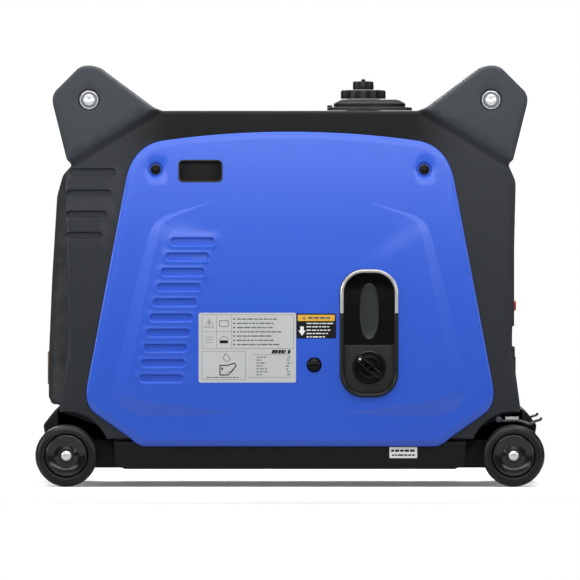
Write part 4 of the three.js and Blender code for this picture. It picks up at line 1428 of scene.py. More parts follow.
@dataclass
class ControlEnd:
    """Right end cover with the control panel, its switches, sockets and the flap."""

    sizes: CaseSizes

    def cover(self) -> None:
        """End cover with its two windows."""
        s = self.sizes
        e, t = s.end_x, s.top
        corners = [(e + 9.5, s.seam + 0.3, 0), (e + 9.5, 97, 5), (e, 103, 5), (e, 169, 60),
                   (e + 4.5, t - 84, 24), (e - 7.2, t - 58, 0)]
        path = resampled(filleted(corners, closed=False), 10, closed=False)
        section = strip_section(s.middle, 2.5, 0.7)
        shell = swept("control_end_cover_shell", path, section, Axis.Y, closed=False)
        window = rounded_slab("window", rounded_rect(0, 269, 170, 158, 10), Axis.X, e - 20, e + 40, (0, 0))
        socket = rounded_slab("socket", rounded_rect(0, 136, 48, 42, 4), Axis.X, e - 20, e + 40, (0, 0))
        shell = cut(shell, [window, socket])
        dress(shell, PLAIN_BLACK, "moulded_black", nodes=["control_end_cover"])
        bead = swept("control_window_bead", rounded_rect(0, 269, 170, 158, 10),
                     [(0, e - 3), (1.8, e - 3), (1.8, e + 3.4), (1.2, e + 4.0), (0.6, e + 4.0), (0, e + 3.4)],
                     Axis.X)
        dress(bead, RUBBER, "edge_rubber")

    def disc(self, name: str, y: float, z: float, profile: Sequence[Pair], finish: Finish,
             material: str, body: str = "root", nodes: Sequence[str] = ()) -> None:
        """Round fitting on the panel; heights count outwards from the panel's face."""
        face = box_mm("control_panel")[1][0]
        made = turned(name, outward(profile, face), Axis.X, (0, y, z), 56)
        dress(made, finish, material, body, nodes)

    def panel(self) -> None:
        """Panel with its display, lights, sockets, terminals and switches."""
        low, high = box_mm("control_panel")
        plate = rounded_slab("control_panel_plate", rounded_rect(0, (low[2] + high[2]) / 2, high[1] - low[1],
                                                                 high[2] - low[2], 8),
                             Axis.X, low[0], high[0], (0.5, 0.8))
        dress(plate, PANEL, "panel_plastic", nodes=["control_panel"])
        x = high[0]
        glass = rounded_slab("display_window", rounded_rect(0, 340.0 - 1, 46, 12, 2), Axis.X, x, x + 1.2,
                             (0, 0.5))
        dress(glass, GLOSS, "gloss_black")
        for k, finish in enumerate((RED, AMBER, WHITE)):
            self.disc(f"pilot_light_{k}", -62 + 12 * k, 339,
                      [(0, 0), (3.2, 0), (3.2, 1), (2.4, 2.2), (0, 2.6)], finish, f"pilot_lens_{k}")
        for k in range(2):
            y = -42 + 84 * k
            self.disc(f"socket_{k}", y, 262, [(0, -1), (25, -1), (25, 1.6), (24, 2.6), (20.5, 2.6),
                                              (19.5, 1.8), (19.5, 0.5), (0, 0.5)], BLACK_PAINTED_SHADE, "socket_black")
            slots = [block("pin", (x + 0.4, y - 8, 258), (x + 0.9, y - 5.6, 268), 0.3),
                     block("pin", (x + 0.4, y + 5.6, 258), (x + 0.9, y + 8, 268), 0.3),
                     block("pin", (x + 0.4, y - 2, 249), (x + 0.9, y + 2, 253), 0.3)]
            dress(joined(f"socket_contacts_{k}", slots), STEEL, "zinc_plated_steel")
        for k, finish in enumerate((RED, INK)):
            post = [(0, 0), (5.5, 0), (5.5, 3), (4, 3.4), (4, 5), (6, 5.6), (6, 11), (5, 12), (0, 12)]
            self.disc(f"dc_terminal_{k}", -12 + 24 * k, 214, post, finish, f"terminal_{k}")
        ground = [(0, 0), (7, 0), (7, 1), (4.6, 1.2), (4.6, 4), (2.4, 4.2), (2.4, 7), (0, 7.4)]
        self.disc("ground_terminal", 62, 214, ground, STEEL, "zinc_plated_steel")
        self.disc("circuit_breaker", -62, 214, [(0, 0), (9, 0), (9, 2), (7, 2.6), (5, 2.6), (5, 7),
                                                (4.4, 7.6), (0, 7.8)],
                  INK, "breaker_black")
        self.switches()

    def switches(self) -> None:
        """Start key, rocker and reset button on their own bodies."""
        face = box_mm("control_panel")[1][0]
        low, high = box_mm("start_switch")
        _, y, z = (low + high) / 2
        r, tip = (high[1] - low[1]) / 2, high[0] - face
        self.disc("start_key_base", y, z, [(r + 1, 0), (r + 5, 0), (r + 4.4, 1.4), (r + 1.4, 1.4),
                                           (r + 1, 0.8), (r + 1, 0)],
                  STEEL, "zinc_plated_steel")
        key = block("grip", (face + 0.8, y - r + 0.5, z - 2.6), (face + tip, y + r - 0.5, z + 2.6), 1.4)
        boss = turned("boss", [(r_, face + h) for r_, h in [(0, 0.6), (r - 0.3, 0.6), (r - 0.3, 3.4),
                                                            (r - 1.4, 4.4), (0, 4.4)]], Axis.X, (0, y, z), 48)
        dress(joined("start_switch_knob", [key, boss]), INK, "key_black", "starter_key", ["start_switch"])
        low, high = box_mm("economy_switch")
        rocker = rounded_slab("economy_rocker", rounded_rect((low[1] + high[1]) / 2, (low[2] + high[2]) / 2,
                                                             high[1] - low[1], high[2] - low[2], 1.4),
                              Axis.X, low[0], high[0], (0.3, 1.2))
        dress(rocker, RED, "button_red", "economy", ["economy_switch"])
        low, high = box_mm("reset_button")
        r = (high[1] - low[1]) / 2
        cap = [(0, low[0]), (r, low[0]), (r, high[0] - 1.4), (r - 0.5, high[0] - 0.5), (r - 1.5, high[0]),
               (0, high[0] - 0.4)]
        button = turned("reset_button_cap", cap, Axis.X, (0, (low[1] + high[1]) / 2, (low[2] + high[2]) / 2),
                        48)
        dress(button, RED, "button_red", "reset", ["reset_button"])

    def flap(self) -> None:
        """Hinged flap over the outlet window, with its finger lip."""
        low, high = box_mm("outlet_cover")
        plate = rounded_slab("plate", rounded_rect(0, (low[2] + high[2]) / 2, high[1] - low[1],
                                                   high[2] - low[2], 4),
                             Axis.X, low[0], high[0] - 2.4, (0.4, 1.4))
        lip = block("lip", (high[0] - 3.4, -14, low[2] + 2), (high[0], 14, low[2] + 6), 1.0)
        ridge = block("ridge", (high[0] - 3.2, -22, low[2] + 20), (high[0] - 1.4, 22, high[2] - 12), 0.8)
        dress(joined("outlet_flap", [plate, lip, ridge]), RUBBER, "flap_rubber", "flap", ["outlet_cover"])

    def build(self) -> None:
        """Make the whole end."""
        self.cover()
        self.panel()
        self.flap()


@dataclass
class CarryBars:
    """Bars between the ears, with grips and bolted ends."""

    sizes: CaseSizes

    def bar(self, end: End) -> None:
        """Round bar with a ribbed rubber sleeve in the middle."""
        s = self.sizes
        x, z = s.bolt
        name = f"carry_bar_{end.word}"
        r, reach = (box_mm(name)[1][0] - box_mm(name)[0][0]) / 2, box_mm(name)[1][1]
        half = [(0, -reach), (r - 2.4, -reach), (r - 2.4, -120), (r - 0.6, -119), (r, -117.5)]
        for k in range(14):
            y = -114 + 8 * k
            half += [(r, y - 1.2), (r - 0.9, y - 0.5), (r - 0.9, y + 0.5), (r, y + 1.2)]
        profile = half + [(a, -b) for a, b in half[::-1]]
        bar = turned(name + "_sleeve", profile, Axis.Y, (end.value * x, 0, z), 56)
        dress(bar, RUBBER, "grip_rubber", nodes=[name])

    def bolt(self, side: Side, end: End) -> None:
        """Washer and socket-head bolt at one end of a bar."""
        s = self.sizes
        x, z = s.bolt
        way = side.value
        at = (end.value * x, 0, z)
        face = s.ear_face - 4
        suffix = f"{side.word}_{end.word}"
        ring = [(9.7, 0.2), (11.0, 0.2), (11.2, 1.0), (10.9, 1.7), (10.3, 2.0), (9.8, 1.7), (9.7, 0.2)]
        dress(turned(f"ear_washer_rim_{suffix}", outward(ring, face, way), Axis.Y, at, 64),
              STEEL, "zinc_plated_steel")
        washer = [(6.0, 0.2), (9.6, 0.2), (9.6, 1.0), (6.0, 1.0), (6.0, 0.2)]
        dress(turned(f"ear_washer_{suffix}", outward(washer, face, way), Axis.Y, at, 64),
              DARK_STEEL, "washer_steel")
        head = [(0, 0.3), (6.6, 0.3), (6.9, 1.6), (6.9, 3.6), (6.3, 4.8), (5.0, 5.3), (3.2, 5.5), (3.0, 3.0),
                (0, 2.6)]
        made = turned(f"ear_bolt_{suffix}_head", outward(head, face, way), Axis.Y, at, 48)
        dress(made, STEEL, "zinc_plated_steel", nodes=[f"ear_bolt_{suffix}"])

    def build(self) -> None:
        """Make both bars and their four bolts."""
        for end in End:
            self.bar(end)
            for side in Side:
                self.bolt(side, end)


@dataclass
class CoverFittings:
    """Cover screws, finger pull and primer of the near side, and the far screws."""

    sizes: CaseSizes
    cover: SideCover

    def screw(self, side: Side, end: End, x: float, z: float) -> None:
        """Black cross-head screw in its countersink."""
        way, suffix = side.value, f"{side.word}_{end.word}"
        face = self.sizes.cover_face - self.cover.border - 3.1
        rings = [(0, 0), (6.0, 0), (6.2, 0.6), (5.9, 1.5), (4.8, 2.3), (3.0, 2.8), (0, 3.0)]
        head = turned(f"cover_screw_{suffix}_head", outward(rings, face, way), Axis.Y,
                      (x, 0, z), 40)
        bars = [rounded_slab("bar", rounded_rect(x, z, w, h, 0.4), Axis.Y, way * (face + 1.6),
                             way * (face + 3.6), (0, 0)) for w, h in ((6.6, 1.3), (1.3, 6.6))]
        dress(cut(head, bars), GLOSS, "gloss_black", nodes=[f"cover_screw_{suffix}"])

    def finger_pull(self) -> None:
        """Finger pull with a rolled rim, in near-black that paints the shade inside the opening."""
        low, high = box_mm("finger_pull")
        x, _, z = (low + high) / 2
        w, _, h = high - low
        front, back = -low[1] - 3.6, -high[1]
        rim = rounded_rect(x, z, w - 0.2, h - 0.2, 6)
        section = [(0, -front + 1.5), (0.2, -front + 0.5), (0.9, -front), (1.7, -front + 0.4),
                   (2.0, -front + 1.5), (2.4, -back - 2), (0.4, -back - 2)]
        walls = swept("walls", rim, section, Axis.Y)
        floor = rounded_slab("floor", inset(rim, 0.2), Axis.Y, -back - 3, -back, (0, 0))
        dress(joined("finger_pull_cup", [walls, floor]), BLACK_PAINTED_SHADE, "deep_black", nodes=["finger_pull"])

    def primer(self) -> None:
        """Soft dome of the primer, with a low collar."""
        low, high = box_mm("primer_bulb")
        x, z, front = (low[0] + high[0]) / 2, (low[2] + high[2]) / 2, -low[1]
        r = (high[0] - low[0]) / 2
        base = self.sizes.cover_face - self.cover.border - 1
        dome = [(0, high[1] * -1 if high[1] < 0 else base), (r * 0.9, base - 2)]
        dome += [(r * math.cos(a), base + (front - base) * math.sin(a)) for a in np.linspace(0, math.pi / 2,
                                                                                             12)]
        made = turned("primer_bulb_dome", [(a, -b) for a, b in dome], Axis.Y, (x, 0, z), 56)
        dress(made, GLOSS, "gloss_black", "primer", ["primer_bulb"])

    def build(self) -> None:
        """Make all the fittings."""
        for side in Side:
            for (x, z), end in zip(self.cover.screws(), (End.RIGHT, End.LEFT)):
                self.screw(side, end, x, z)
        self.finger_pull()
        self.primer()


@dataclass
class StarterBay:
    """Pocket with the recoil starter's grip above and the engine dial below."""

    sizes: CaseSizes
    trim: float = 4.0
    split: float = 206.0
    dial_at: Pair = (94.4, 142.6)

    def pocket(self) -> None:
        """Black pocket with its shelf and its face below the shelf, darkened further as painted shade inside
        the pocket.
        """
        s = self.sizes
        low, high = box_mm("starter_pocket")
        x, _, z = (low + high) / 2
        rim = rounded_rect(x, z, high[0] - low[0], high[2] - low[2], 29)
        face, back = s.cover_face - 2.4, -high[1]
        section = [(0, -face + 1.2), (0.3, -face + 0.2), (0.8, -face), (4.8, -face), (5.4, -face + 1.4),
                   (5.4, -back - 3), (2.0, -back - 3), (2.0, -face + 5), (0, -face + 5)]
        walls = swept("walls", resampled(rim, 8), section, Axis.Y)
        floor = rounded_slab("floor", inset(rim, 2.0), Axis.Y, -back - 3, -back, (0, 0))
        shelf_z = 169.0
        inner = inset(rim, 5.0)
        lower = inner[inner[:, 1] < shelf_z]
        left, right = lower[:, 0].min(), lower[:, 0].max()
        bottom = lower[:, 1].min()
        shelf = filleted([(left, bottom, 24), (right, bottom, 24), (right, shelf_z, 1.5),
                          (left, shelf_z, 1.5)])
        plate = rounded_slab("shelf", shelf, Axis.Y, -back - 2, -s.side, (0, 1.6))
        dress(joined("starter_pocket_shell", [walls, floor, plate]), BLACK_PAINTED_SHADE, "deep_black",
              nodes=["starter_pocket"])

    def trims(self) -> None:
        """Bright trim over the top of the pocket and dark trim under it."""
        low, high = box_mm("starter_pocket")
        x, _, z = (low + high) / 2
        rim = resampled(rounded_rect(x, z, high[0] - low[0] - 1.8, high[2] - low[2] - 1.8, 28.2), 3)
        start = int(np.argmin(np.abs(rim[:, 1] - self.split) + 1000 * (rim[:, 0] < x)))
        rim = np.roll(rim, -start, 0)
        front, w = -low[1], self.trim
        section = [(0, -front + 4), (0, -front + 1.6), (0.5, -front + 0.6), (1.4, -front), (w - 1.4, -front),
                   (w - 0.5, -front + 0.6), (w, -front + 1.6), (w, -front + 4)]
        upper = rim[rim[:, 1] >= self.split]
        bright = swept("pocket_trim_bright", upper, section, Axis.Y, closed=False)
        dress(bright, CHROME, "bright_trim")
        after = int(np.argmax(rim[:, 1] < self.split))
        under = np.roll(rim, -after, 0)
        under = under[under[:, 1] < self.split]
        dark = swept("pocket_trim_dark", under, [(a, b + 0.25) for a, b in section], Axis.Y, closed=False)
        dress(dark, PANEL_GLOSS, "satin_black")

    def grip(self) -> None:
        """Oval pull grip with a raised rim and a dished face, and its rope."""
        low, high = box_mm("starter_grip")
        x, _, z = (low + high) / 2
        w, _, h = high - low
        front, back = -low[1], -high[1]
        layers = [(0.42, back), (0.6, back), (0.62, front - 13), (0.86, front - 11.5), (0.97, front - 8),
                  (1.0, front - 3.5), (0.99, front - 1.6), (0.95, front - 0.5), (0.91, front - 0.1),
                  (0.87, front),
                  (0.83, front - 0.35), (0.79, front - 1.1), (0.6, front - 1.5), (0.3, front - 1.7),
                  (0.02, front - 1.75)]
        rings = []
        for share, y in layers:
            shrink = (1 - share) * w
            oval = ellipse(0, 0, 2, 2, 72)
            oval = np.sign(oval) * np.abs(oval) ** 0.88 * [max(w - shrink, 0.4) / 2,
                                                           max(h - shrink * 1.3, 0.4) / 2]
            rings.append(Axis.Y.place(oval + [x, z], -y))
        made = loft("starter_grip_handle", rings)
        dress(made, GRIP, "grip_plastic", "grip", ["starter_grip"])
        low, high = box_mm("starter_rope")
        r = (high[0] - low[0]) / 2
        path = []
        turns = np.linspace(0, 1, 60)
        for t in turns:
            y = low[1] + (high[1] - low[1]) * t
            angle = 2 * math.pi * t * 5
            ring = ellipse((low[0] + high[0]) / 2, (low[2] + high[2]) / 2, 2 * r, 2 * r, 16)
            bumps = 1 - 0.1 * (0.5 + 0.5 * np.cos(3 * (np.linspace(0, 2 * math.pi, 16,
                                                                   endpoint=False) + angle)))
            middle = ring.mean(0)
            path.append(Axis.Y.place(middle + (ring - middle) * bumps[:, None], y))
        rope = loft("starter_rope_cord", path)
        rope.data.materials.append(ROPE.material("braided_rope"))
        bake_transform(rope)
        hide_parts("starter_rope")

    def dial(self) -> None:
        """Engine dial: ridged disc with a raised pointer."""
        low, _ = box_mm("engine_dial")
        x, z = self.dial_at
        base = self.sizes.side + 0.3
        r = 20.0
        profile = [(0, base), (r - 0.4, base), (r, base + 1), (r - 0.4, base + 3.2), (r - 1.6, base + 4.2),
                   (r - 3.4, base + 4.2), (r - 4.0, base + 3.4), (r - 6.4, base + 3.2), (r - 7.0, base + 4.2),
                   (r - 8.4, base + 4.4), (r - 9.0, base + 3.4), (7.4, base + 3.4), (6.8, base + 4.6),
                   (0, base + 4.9)]
        disc = turned("disc", [(a, -b) for a, b in profile], Axis.Y, (x, 0, z), 72)
        bar = rounded_rect(0, 0, 36, 9.4, 4.6)
        turn = math.radians(-41)
        spin = np.array([[math.cos(turn), math.sin(turn)], [-math.sin(turn), math.cos(turn)]])
        pointer = rounded_slab("pointer", bar @ spin + [x, z], Axis.Y, -base - 2, low[1], (0, 1.6))
        hub = turned("hub", [(5.4, low[1] + 0.6), (5.2, low[1] - 0.0), (3.0, low[1]), (2.6, low[1] + 1.2),
                             (0, low[1] + 1.2),
                             (0, low[1] + 3), (5.4, low[1] + 3), (5.4, low[1] + 0.6)], Axis.Y, (x, 0, z), 40)
        dress(joined("engine_dial_knob", [disc, pointer, hub]), GLOSS_KNOB, "satin_knob", "dial",
              ["engine_dial"])
        tip = np.array([[-14.6, 0.0]]) @ spin + [x, z]
        dot = turned("dial_dot", [(0, low[1] + 0.8), (1.3, low[1] + 0.8), (1.3, low[1] - 0.1),
                                  (0, low[1] - 0.2)],
                     Axis.Y, (tip[0, 0], 0, tip[0, 1]), 24)
        dress(dot, WHITE, "print_white", "dial")

    def build(self) -> None:
        """Make the whole bay."""
        self.pocket()
        self.trims()
        self.grip()
        self.dial()


@dataclass
class Filler:
    """Fuel filler on the top: stepped collar, lobed cap and vent knob."""

    sizes: CaseSizes

    def build(self) -> None:
        """Make the collar, the gasket, the cap and the knob."""
        low, high = box_mm("filler_collar")
        cap_low, cap_high = box_mm("fuel_cap")
        x = (cap_low[0] + cap_high[0]) / 2
        middle, w, d = (low[0] + high[0]) / 2, high[0] - low[0], high[1] - low[1]
        z0, z1 = low[2], high[2]
        layers = [(0.0, z0), (0.0, z0 + 3.2), (0.8, z0 + 4.0), (7.5, z0 + 4.4), (8.0, z0 + 5.0),
                  (8.0, z0 + 8.4), (8.8, z0 + 9.2), (15, z1 - 0.8), (17, z1)]
        outline = resampled(rounded_rect(middle, 0, w, d, 26), 8)
        collar = loft("collar", [Axis.Z.place(inset(outline, a), h) for a, h in layers])
        hole = turned("hole", [(0, z0 - 5), (21, z0 - 5), (21, z1 + 5), (0, z1 + 5)], Axis.Z, (x, 0, 0))
        collar = cut(collar, [hole])
        hinge = block("hinge", (low[0] + 0.2, -9, z0 + 3), (low[0] + 6.6, 9, z0 + 6.4), 1.0)
        dress(joined("filler_collar_step", [collar, hinge]), TRAY_BLACK, "tray_plastic",
              nodes=["filler_collar"])
        gasket_low, gasket_high = box_mm("fuel_cap_gasket")
        g0, g1 = gasket_low[2], gasket_high[2]
        ring = [(12.5, g0), (19.5, g0), (19.9, g0 + 0.5), (19.9, g1 - 0.5), (19.5, g1), (12.5, g1),
                (12.5, g0)]
        dress(turned("fuel_cap_seal", ring, Axis.Z, (x, 0, 0), 48), RUBBER, "edge_rubber", "filler_seal",
              ["fuel_cap_gasket"])
        r = (cap_high[0] - cap_low[0]) / 2
        c0, c1 = cap_low[2], cap_high[2]
        rings = []
        for shrink, z in ((0.6, c0), (0, c0 + 0.7), (0, c1 - 2.4), (0.5, c1 - 1.2), (1.6, c1 - 0.4),
                          (3.0, c1), (9.0, c1 - 0.1), (9.8, c1 - 0.9), (13, c1 - 1.0)):
            rings.append(Axis.Z.place(lobed(x, 0, r - shrink, 12, max(2.6 - shrink, 0.0)), z))
        cap = loft("cap", rings)
        dress(cut(cap, [turned("bore", [(0, c0 - 1), (18, c0 - 1), (18, c0 + 5), (0, c0 + 5)], Axis.Z,
                               (x, 0, 0))]),
              TRAY_BLACK, "tray_plastic", "filler_cap", ["fuel_cap"])
        knob_low, knob_high = box_mm("vent_knob")
        k0, k1 = knob_low[2], knob_high[2]
        rings = []
        for shrink, z in ((0.3, k0), (0, k0 + 0.5), (0, k1 - 4.4), (0.6, k1 - 3.2), (2.0, k1 - 2.6),
                          (11.5, k1 - 2.4)):
            rings.append(Axis.Z.place(lobed(x, 0, 12.5 - shrink, 8, max(1.6 - shrink, 0.0)), z))
        tab = block("tab", (x - 2.4, -10.8, k1 - 3.2), (x + 2.4, 10.8, k1), 0.9)
        knob = joined("vent_knob_lobed", [loft("knob", rings), tab])
        dress(knob, TRAY_BLACK, "tray_plastic", "vent", ["vent_knob"])


# --- labels ---------------------------------------------------------------------------------


@dataclass
class Sticker:
    """Thin label that follows the near cover, with generic printed marks.

    Attributes:
        height: Height of the surface under it at given points.
        low: Lower left corner, in millimetres.
        high: Upper right corner.
    """

    height: Callable[[Points], Points]
    low: Pair
    high: Pair

    def base(self, name: str, finish: Finish, material: str, radius: float = 2.4, lift: float = 0.2) -> None:
        """The label itself."""
        (x0, z0), (x1, z1) = self.low, self.high
        rim = resampled(rounded_rect((x0 + x1) / 2, (z0 + z1) / 2, x1 - x0, z1 - z0, radius), 6)
        sheet = Relief(rim, lambda p: self.height(p) + lift, lambda p: self.height(p) - 0.15, spacing=8)
        dress(sheet.build(name), finish, material)

    def marks(self, name: str, shapes: Sequence[Points], finish: Finish, material: str,
              lift: float = 0.27) -> None:
        """Printed marks: convex outlines raised a little over the label."""
        verts: list[Points] = []
        faces: list[list[int]] = []
        start = 0
        for shape in shapes:
            n = len(shape)
            h = self.height(shape)
            verts += [Axis.Y.place(shape, -(h + lift)), Axis.Y.place(shape, -(h + lift - 0.14))]
            faces += [[start + i for i in range(n)], [start + n + i for i in range(n)][::-1]]
            faces += [[start + i, start + (i + 1) % n, start + n + (i + 1) % n,
                       start + n + i] for i in range(n)]
            start += 2 * n
        dress(make_object(name, np.vstack(verts), faces), finish, material)


def bar_mark(x0: float, z0: float, x1: float, z1: float, slant: float = 0.0) -> Points:
    """Four-cornered printed bar, leaning by slant."""
    return np.array([[x0, z0], [x1, z0], [x1 + slant, z1], [x0 + slant, z1]], float)


def line_mark(x0: float, z0: float, x1: float, z1: float, width: float = 0.35) -> list[Points]:
    """Printed line in pieces short enough to follow the surface."""
    a, b = np.array([x0, z0]), np.array([x1, z1])
    along = (b - a) / np.linalg.norm(b - a)
    across = np.array([-along[1], along[0]]) * width / 2
    count = max(1, math.ceil(np.linalg.norm(b - a) / 14))
    cuts = [a + (b - a) * k / count for k in range(count + 1)]
    return [np.array([p - across, q - across, q + across, p + across]) for p, q in zip(cuts, cuts[1:])]


def words(draw: random.Random, x0: float, x1: float, z: float, height: float) -> list[Points]:
    """Row of dashes of word length."""
    out = []
    x = x0
    while x < x1 - 1.5:
        long = min(draw.uniform(2.2, 7.5), x1 - x)
        out.append(bar_mark(x, z - height / 2, x + long, z + height / 2))
        x += long + 1.1
    return out


@dataclass
class Labels:
    """Stickers on the near cover and on the tray."""

    sizes: CaseSizes
    cover: SideCover

    def surface(self, where: Points) -> Points:
        """Height of the near cover without its small features."""
        return self.sizes.cover_face - self.cover.border + self.cover.field_rise(where)

    def notice(self) -> None:
        """Silver label with pictograms, bulleted lines, a drawing and a table."""
        x0, x1, z0, z1 = -108.8, 7.2, 124.3, 207.4
        label = Sticker(self.surface, (x0, z0), (x1, z1))
        label.base("notice_label", LABEL, "label_silver")
        draw = random.Random(11)
        grey: list[Points] = []
        dark: list[Points] = []
        for z in (z1 - 2.3, z1 - 22.5, z1 - 42.6):
            grey += line_mark(x0 + 4, z, x1 - 3 if z != z1 - 22.5 else x0 + 39.3, z)
        for x in (x0 + 4, x0 + 21.2, x0 + 39.3):
            grey += line_mark(x, z1 - 42.6, x, z1 - 2.3)
        grey += line_mark(x1 - 3, z1 - 42.6, x1 - 3, z1 - 2.3)
        ends = (49, 45.8, 42.8, 53.6, 41, 43.8, 52)
        for k, end in enumerate(ends):
            z = z1 - 7.5 - 5.05 * k
            dark.append(ellipse(x0 + 42.2, z, 2.1, 2.1, 10))
            grey += words(draw, x0 + 45.6, x0 + 45.6 + end, z, 1.5)
        cx, cz = x0 + 12.4, z1 - 13.0
        corners = [(cx - 5.6, cz - 4.6), (cx + 5.6, cz - 4.6), (cx, cz + 5.4)]
        for a, b in zip(corners, corners[1:] + corners[:1]):
            grey += line_mark(*a, *b, 0.5)
        dark += [bar_mark(cx - 0.5, cz - 1.2, cx + 0.5, cz + 3), ellipse(cx, cz - 2.8, 1.2, 1.2, 8)]
        bx = x0 + 30
        for sign in (-1, 1):
            page = [(bx, cz - 3.6), (bx + sign * 5.2, cz - 3), (bx + sign * 5.2, cz + 4), (bx, cz + 3.2)]
            for a, b in zip(page, page[1:]):
                grey += line_mark(*a, *b, 0.8)
        hz = z1 - 33
        for a, b in (((bx - 6, hz + 1.4), (bx, hz + 5.4)), ((bx, hz + 5.4), (bx + 6, hz + 1.4))):
            grey += line_mark(*a, *b, 0.6)
        dark.append(bar_mark(bx - 5, hz - 3.4, bx + 5, hz + 0.2))
        for k in range(3):
            grey += line_mark(cx - 5, hz - 3 + 3 * k, cx + 5, hz - 1.6 + 3 * k, 0.5)
        bottom = z0 + 3.4
        for a, b in (((x0 + 4, bottom), (x0 + 55.8, bottom)), ((x0 + 4, z1 - 45.8), (x0 + 55.8, z1 - 45.8)),
                     ((x0 + 4, bottom), (x0 + 4, z1 - 45.8)), ((x0 + 55.8, bottom), (x0 + 55.8, z1 - 45.8))):
            grey += line_mark(*a, *b)
        grey += words(draw, x0 + 9, x0 + 48, bottom + 2.8, 1.1)
        dx, dz = x0 + 25.4, z0 + 9
        outline = [(dx, dz), (dx + 10, dz), (dx + 19.5, dz + 11), (dx + 17, dz + 14), (dx + 9, dz + 11.6),
                   (dx, dz + 11.6)]
        for a, b in zip(outline, outline[1:] + outline[:1]):
            dark += line_mark(*a, *b, 1.3)
        dark += [bar_mark(dx + 6, dz + 3, dx + 8.4, dz + 5, 9), ellipse(dx + 2.6, dz + 7.4, 2.2, 3.4, 10)]
        card = [(dx + 3.4, dz + 20), (dx + 8.2, dz + 15.6), (dx + 12.6, dz + 19.6), (dx + 6.4, dz + 26)]
        for a, b in zip(card, card[1:] + card[:1]):
            grey += line_mark(*a, *b, 0.7)
        for k, wide in enumerate((3.4, 3.0, 3.2, 3.2, 1.4, 3.2)):
            left = x1 - 29.2 + 3.75 * k
            dark.append(bar_mark(left, z1 - 48.6, left + wide, z1 - 44.2, 1.1))
        grey += line_mark(x1 - 51.5, z1 - 49.8, x1 - 7, z1 - 49.8)
        grey += line_mark(x1 - 57, z1 - 76.8, x1 - 7, z1 - 76.8)
        for k in range(7):
            z = z1 - 52.8 - 3.5 * k
            grey += words(draw, x1 - 47, x1 - 47 + draw.uniform(6, 13), z, 1.2)
            grey += words(draw, x1 - 7 - draw.uniform(3, 6), x1 - 7, z, 1.2)
        label.marks("notice_print_grey", grey, FADED_INK, "print_grey")
        label.marks("notice_print_dark", dark, INK, "print_dark")

    def caution(self) -> None:
        """Black label with an amber header, rows of dashes and a white arrow."""
        x0, x1, z0, z1 = 7.7, 54.8, 176.9, 206.5
        label = Sticker(self.surface, (x0, z0), (x1, z1))
        label.base("primer_label", INK, "label_black", 1.6)
        header = rounded_rect((x0 + x1) / 2, z1 - 5.2, x1 - x0 - 3, 7.4, 1.2)
        label.marks("primer_label_header", [header], AMBER, "print_amber", 0.3)
        draw = random.Random(5)
        dark = words(draw, x0 + 14, x0 + 40, z1 - 5.2, 2.4)
        dark.append(np.array([[x0 + 7, z1 - 6.8], [x0 + 11, z1 - 6.8], [x0 + 9, z1 - 3.4]]))
        label.marks("primer_label_dashes", dark, FADED_INK, "print_grey", 0.38)
        white = []
        for k, end in enumerate((44, 39, 40.4, 37.4, 34)):
            white += words(draw, x0 + 12, x0 + end, z1 - 11.8 - 4.0 * k, 1.3)
        arrow_x, shaft_top, tip = x0 + 6.6, z1 - 15.4, z0 + 3.2
        white.append(bar_mark(arrow_x - 2.1, tip + 6.2, arrow_x + 2.1, shaft_top))
        white.append(np.array([[arrow_x - 4.3, tip + 6.2], [arrow_x, tip], [arrow_x + 4.3, tip + 6.2]]))
        label.marks("primer_label_white", white, WHITE, "print_white", 0.34)

    def inspection(self) -> None:
        """Small white sticker on the tray."""
        x0, x1, z0, z1 = 118.5, 151.5, 34.2, 47.2
        flat = self.sizes.side
        label = Sticker(lambda p: np.full(len(p), flat), (x0, z0), (x1, z1))
        label.base("inspection_label", WHITE, "label_white", 0.8)
        draw = random.Random(3)
        dark = words(draw, x0 + 2, x1 - 2, z1 - 4.2, 2.6) + words(draw, x0 + 3, x1 - 3, z0 + 3.6, 1.9)
        label.marks("inspection_print", dark, INK, "print_dark")

    def build(self) -> None:
        """Make every label."""
        self.notice()
        self.caution()
        self.inspection()


# --- inner parts ----------------------------------------------------------------------------


def dress_engine() -> None:
    """Give the parts inside the case their finishes; their CAD shapes are kept."""
    plan = [
        (("fuel_tank",), TANK, "tank_plastic"),
        (("recoil_housing", "recoil_pulley", "air_filter_box", "carburettor"), PLAIN_BLACK, "moulded_black"),
        (("alternator_stator",), COPPER, "copper_winding"),
        (("flywheel_rotor", "crankcase", "cylinder_head", "inverter_module"), CAST, "cast_aluminium"),
        (("crankshaft",), STEEL, "zinc_plated_steel"),
        (("muffler",), HOT, "heat_stained_steel"),
        (("battery",), BLACK_PAINTED_SHADE, "deep_black"),
        (("engine_mount_front", "engine_mount_rear"), RUBBER, "edge_rubber"),
    ]
    for names, finish, material in plan:
        for name in names:
            obj = bpy.data.objects[name]
            obj.data.materials.clear()
            obj.data.materials.append(finish.material(material))
            LOG.info("%s: kept from the frame", name)


# --- studio ---------------------------------------------------------------------------------


